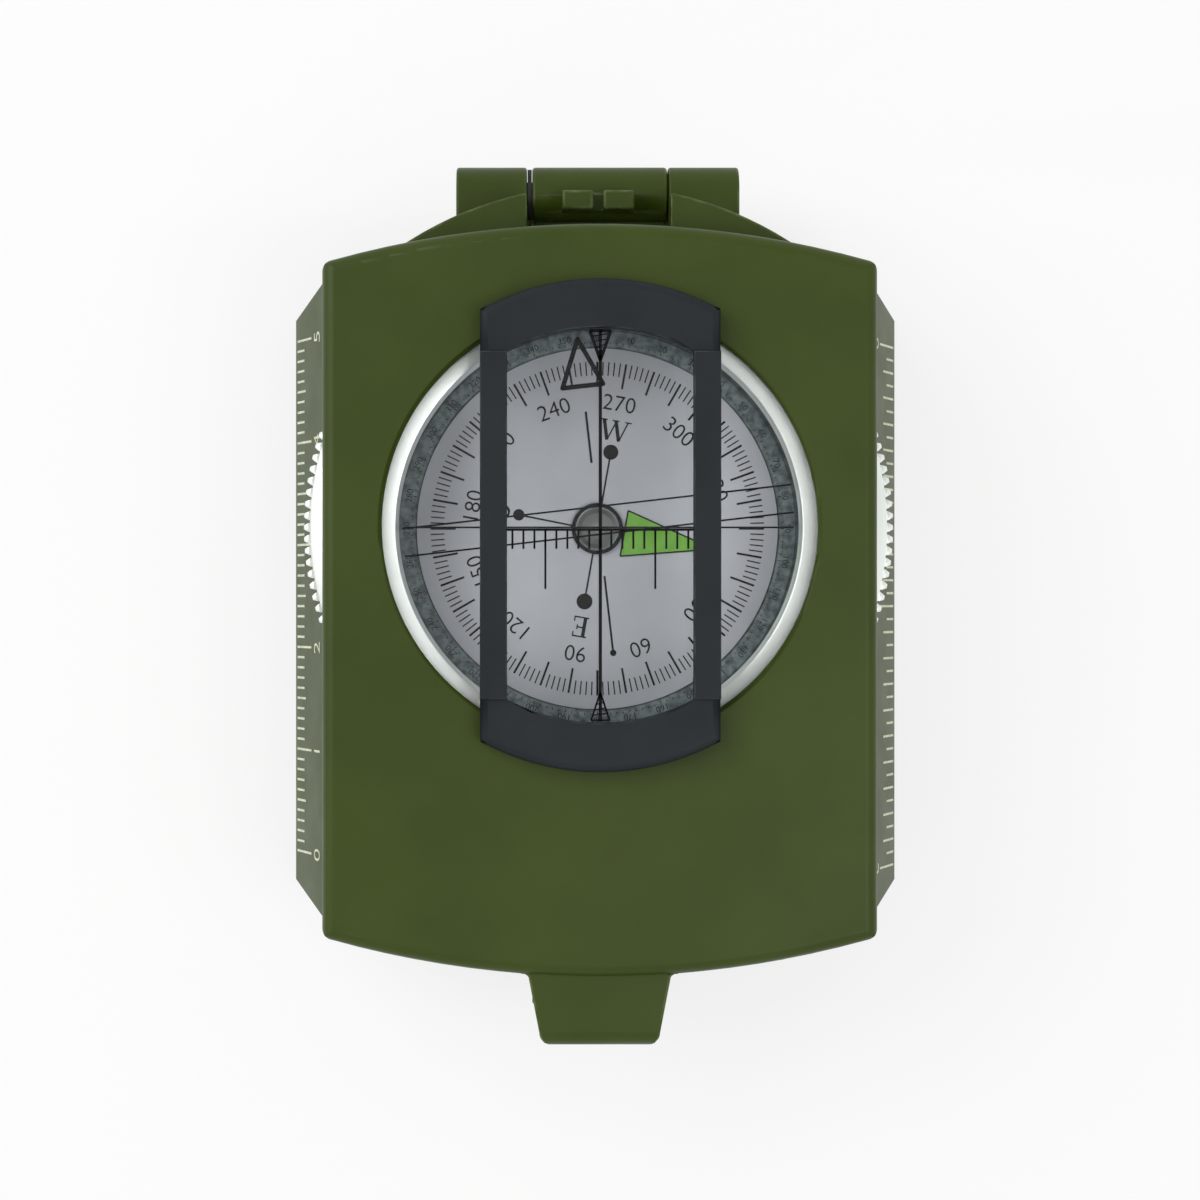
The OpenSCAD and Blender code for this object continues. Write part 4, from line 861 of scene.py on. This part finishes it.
def makeRuler(name, scale):  # count lines from start on, a digit at every long one
    side, start, spacing = scale["side"], scale["start"], scale["spacing"]
    middleEvery, longEvery = scale["every"]
    matrix, rise = slopeMatrix(side)
    short, middle, long = [v * mm / rise.z for v in scale["lengths"]]
    lines = grown(name, straightTree, {
        "Count": scale["count"], "Middle every": middleEvery, "Long every": longEvery,
        "Spacing": -side * spacing * mm, "Short": short, "Middle": middle, "Long": long,
        "Width": rulers["line"] * mm, "Depth": rulers["ink"] * 2 * mm, "Material": creamInk})
    lines.transform(Matrix.Diagonal((-1, 1, 1, 1)))
    lines.transform(Matrix.Translation((0, -side * start * mm, 0)))
    work = bmesh.new()
    reach = (rulers["digitAt"] - rulers["foot"]) / rise.z
    quarter = Matrix.Rotation(math.radians(90), 4, "Z")  # the digits' tops point down the slope
    for digit in range(scale["digits"]):
        y = start + digit * spacing * longEvery
        place = Matrix.Translation((reach, -side * y, 0)) @ quarter
        addWords(work, str(digit), rulers["digit"], place, rulers["digitWeight"], rulers["ink"] * 2)
    piece = joinMeshes(name, [lines, meshFrom(name + "Digits", work)], creamInk)
    piece.data.transform(matrix)
    work = bmesh.new()
    work.from_mesh(piece.data)
    bmesh.ops.recalc_face_normals(work, faces=work.faces)
    work.to_mesh(piece.data)
    work.free()
    settle(piece, "base", "case_green")


makeRuler("inchRuler", inchScale)
makeRuler("centimetreRuler", centimetreScale)
print("rulers printed")


# Floor, light and camera.

studio = {"cameraHeight": 316.1, "cameraAside": 6, "sharedHeight": 28, "lens": 94.5, "sensor": 36,
          "floor": tone(248, 248, 247), "floorSecond": tone(245, 245, 245), "floorGlow": 0.75,
          "glowLevel": 0.995, "floorHalf": 1500, "floorLevel": -0.02, "dropFrom": 37, "dropTo": 54,
          "dropSteps": 12, "floorDrop": 6.8, "skyLevel": 0.58, "background": 0.98, "horizon": 1.0,
          "zenith": 0.52, "fade": (0.3, 0.88)}
lamps = {  # place in metres, power, size in metres
    "keyLamp": ((-0.36, 0.18, 0.44), 1.45, 0.5),
    "fillLamp": ((0.2, -0.12, 0.5), 0.6, 0.3),
}


def makeFloor():  # level under the case and lower behind it, where the loop swings down
    work = bmesh.new()
    start, end, steps = studio["dropFrom"], studio["dropTo"], studio["dropSteps"]
    half = studio["floorHalf"]
    profile = [(-half, 0.0)]
    for k in range(steps + 1):
        profile.append((start + (end - start) * k / steps, (1 - math.cos(math.pi * k / steps)) / 2))
    profile.append((half, 1.0))
    rows = []
    for y, share in profile:
        height = studio["floorLevel"] - share * studio["floorDrop"]
        rows.append([work.verts.new((x, y, height)) for x in (-half, half)])
    for near, far in zip(rows, rows[1:]):
        work.faces.new((near[0], near[1], far[1], far[0]))
    floor = addObject("floor", meshFrom("floor", work))
    material, tree, shader = blank("floorWhite")
    shade = rangeNode(tree, noiseNode(tree, 60, 2), 0.3, 0.7)
    tree.links.new(mixNode(tree, shade, studio["floor"], studio["floorSecond"]), shader.inputs["Base Color"])
    shader.inputs["Roughness"].default_value = 0.9
    shader.inputs["Specular IOR Level"].default_value = 0.1
    glow = tree.nodes.new("ShaderNodeEmission")
    glow.inputs["Strength"].default_value = studio["glowLevel"]
    blend = tree.nodes.new("ShaderNodeMixShader")
    tree.links.new(mathNode(tree, "MULTIPLY", seenRays(tree), studio["floorGlow"]), blend.inputs[0])
    tree.links.new(shader.outputs[0], blend.inputs[1])
    tree.links.new(glow.outputs[0], blend.inputs[2])
    tree.links.new(blend.outputs[0], tree.nodes["Material Output"].inputs["Surface"])
    floor.data.materials.append(material)


def seenRays(tree):  # 1 where the camera, metal or glass looks, 0 where light is gathered
    path = tree.nodes.new("ShaderNodeLightPath")
    total = path.outputs["Is Camera Ray"]
    for name in ("Is Glossy Ray", "Is Transmission Ray"):
        total = mathNode(tree, "MAXIMUM", total, path.outputs[name])
    return total


def makeWorld():  # even light; seen in metal and glass it is bright low down and dimmer overhead
    world = bpy.data.worlds.new("studioSky")
    world.use_nodes = True
    tree = world.node_tree
    tree.nodes.clear()

    def glowing(strength):
        node = tree.nodes.new("ShaderNodeBackground")
        node.inputs["Color"].default_value = (1, 1, 1, 1)
        if isinstance(strength, bpy.types.NodeSocket):
            tree.links.new(strength, node.inputs["Strength"])
        else:
            node.inputs["Strength"].default_value = strength
        return node.outputs[0]

    def chosen(factor, first, second):
        node = tree.nodes.new("ShaderNodeMixShader")
        for k, value in enumerate((factor, first, second)):
            tree.links.new(value, node.inputs[k])
        return node.outputs[0]

    direction = tree.nodes.new("ShaderNodeTexCoord")
    parts = tree.nodes.new("ShaderNodeSeparateXYZ")
    tree.links.new(direction.outputs["Generated"], parts.inputs[0])
    mirrored = rangeNode(tree, parts.outputs["Z"], *studio["fade"], studio["horizon"], studio["zenith"])
    path = tree.nodes.new("ShaderNodeLightPath")
    seen = chosen(path.outputs["Is Camera Ray"], glowing(mirrored), glowing(studio["background"]))
    output = tree.nodes.new("ShaderNodeOutputWorld")
    tree.links.new(chosen(seenRays(tree), glowing(studio["skyLevel"]), seen), output.inputs[0])
    bpy.context.scene.world = world


def addLamp(name, place, power, size):
    lamp = bpy.data.lights.new(name, "AREA")
    lamp.energy = power
    lamp.shape = "DISK"
    lamp.size = size
    holder = bpy.data.objects.new(name, lamp)
    holder.location = place
    holder.rotation_euler = (Vector((0, 0, 0.01)) - Vector(place)).to_track_quat("-Z", "Y").to_euler()
    bpy.context.scene.collection.objects.link(holder)


makeFloor()
makeWorld()
for name, (place, power, size) in lamps.items():
    addLamp(name, place, power, size)
cameraData = bpy.data.cameras.new("camera")
cameraData.lens = studio["lens"]
cameraData.clip_start = 0.01
camera = bpy.data.objects.new("camera", cameraData)
camera.location = (-studio["cameraAside"] * mm, 0, studio["cameraHeight"] * mm)
beyond = studio["cameraHeight"] - studio["sharedHeight"]  # the shift keeps this height where it was
cameraData.shift_x = studio["cameraAside"] / beyond * studio["lens"] / studio["sensor"]
bpy.context.scene.collection.objects.link(camera)
bpy.context.scene.camera = camera
bpy.context.scene.view_settings.view_transform = "Standard"
print("studio set")
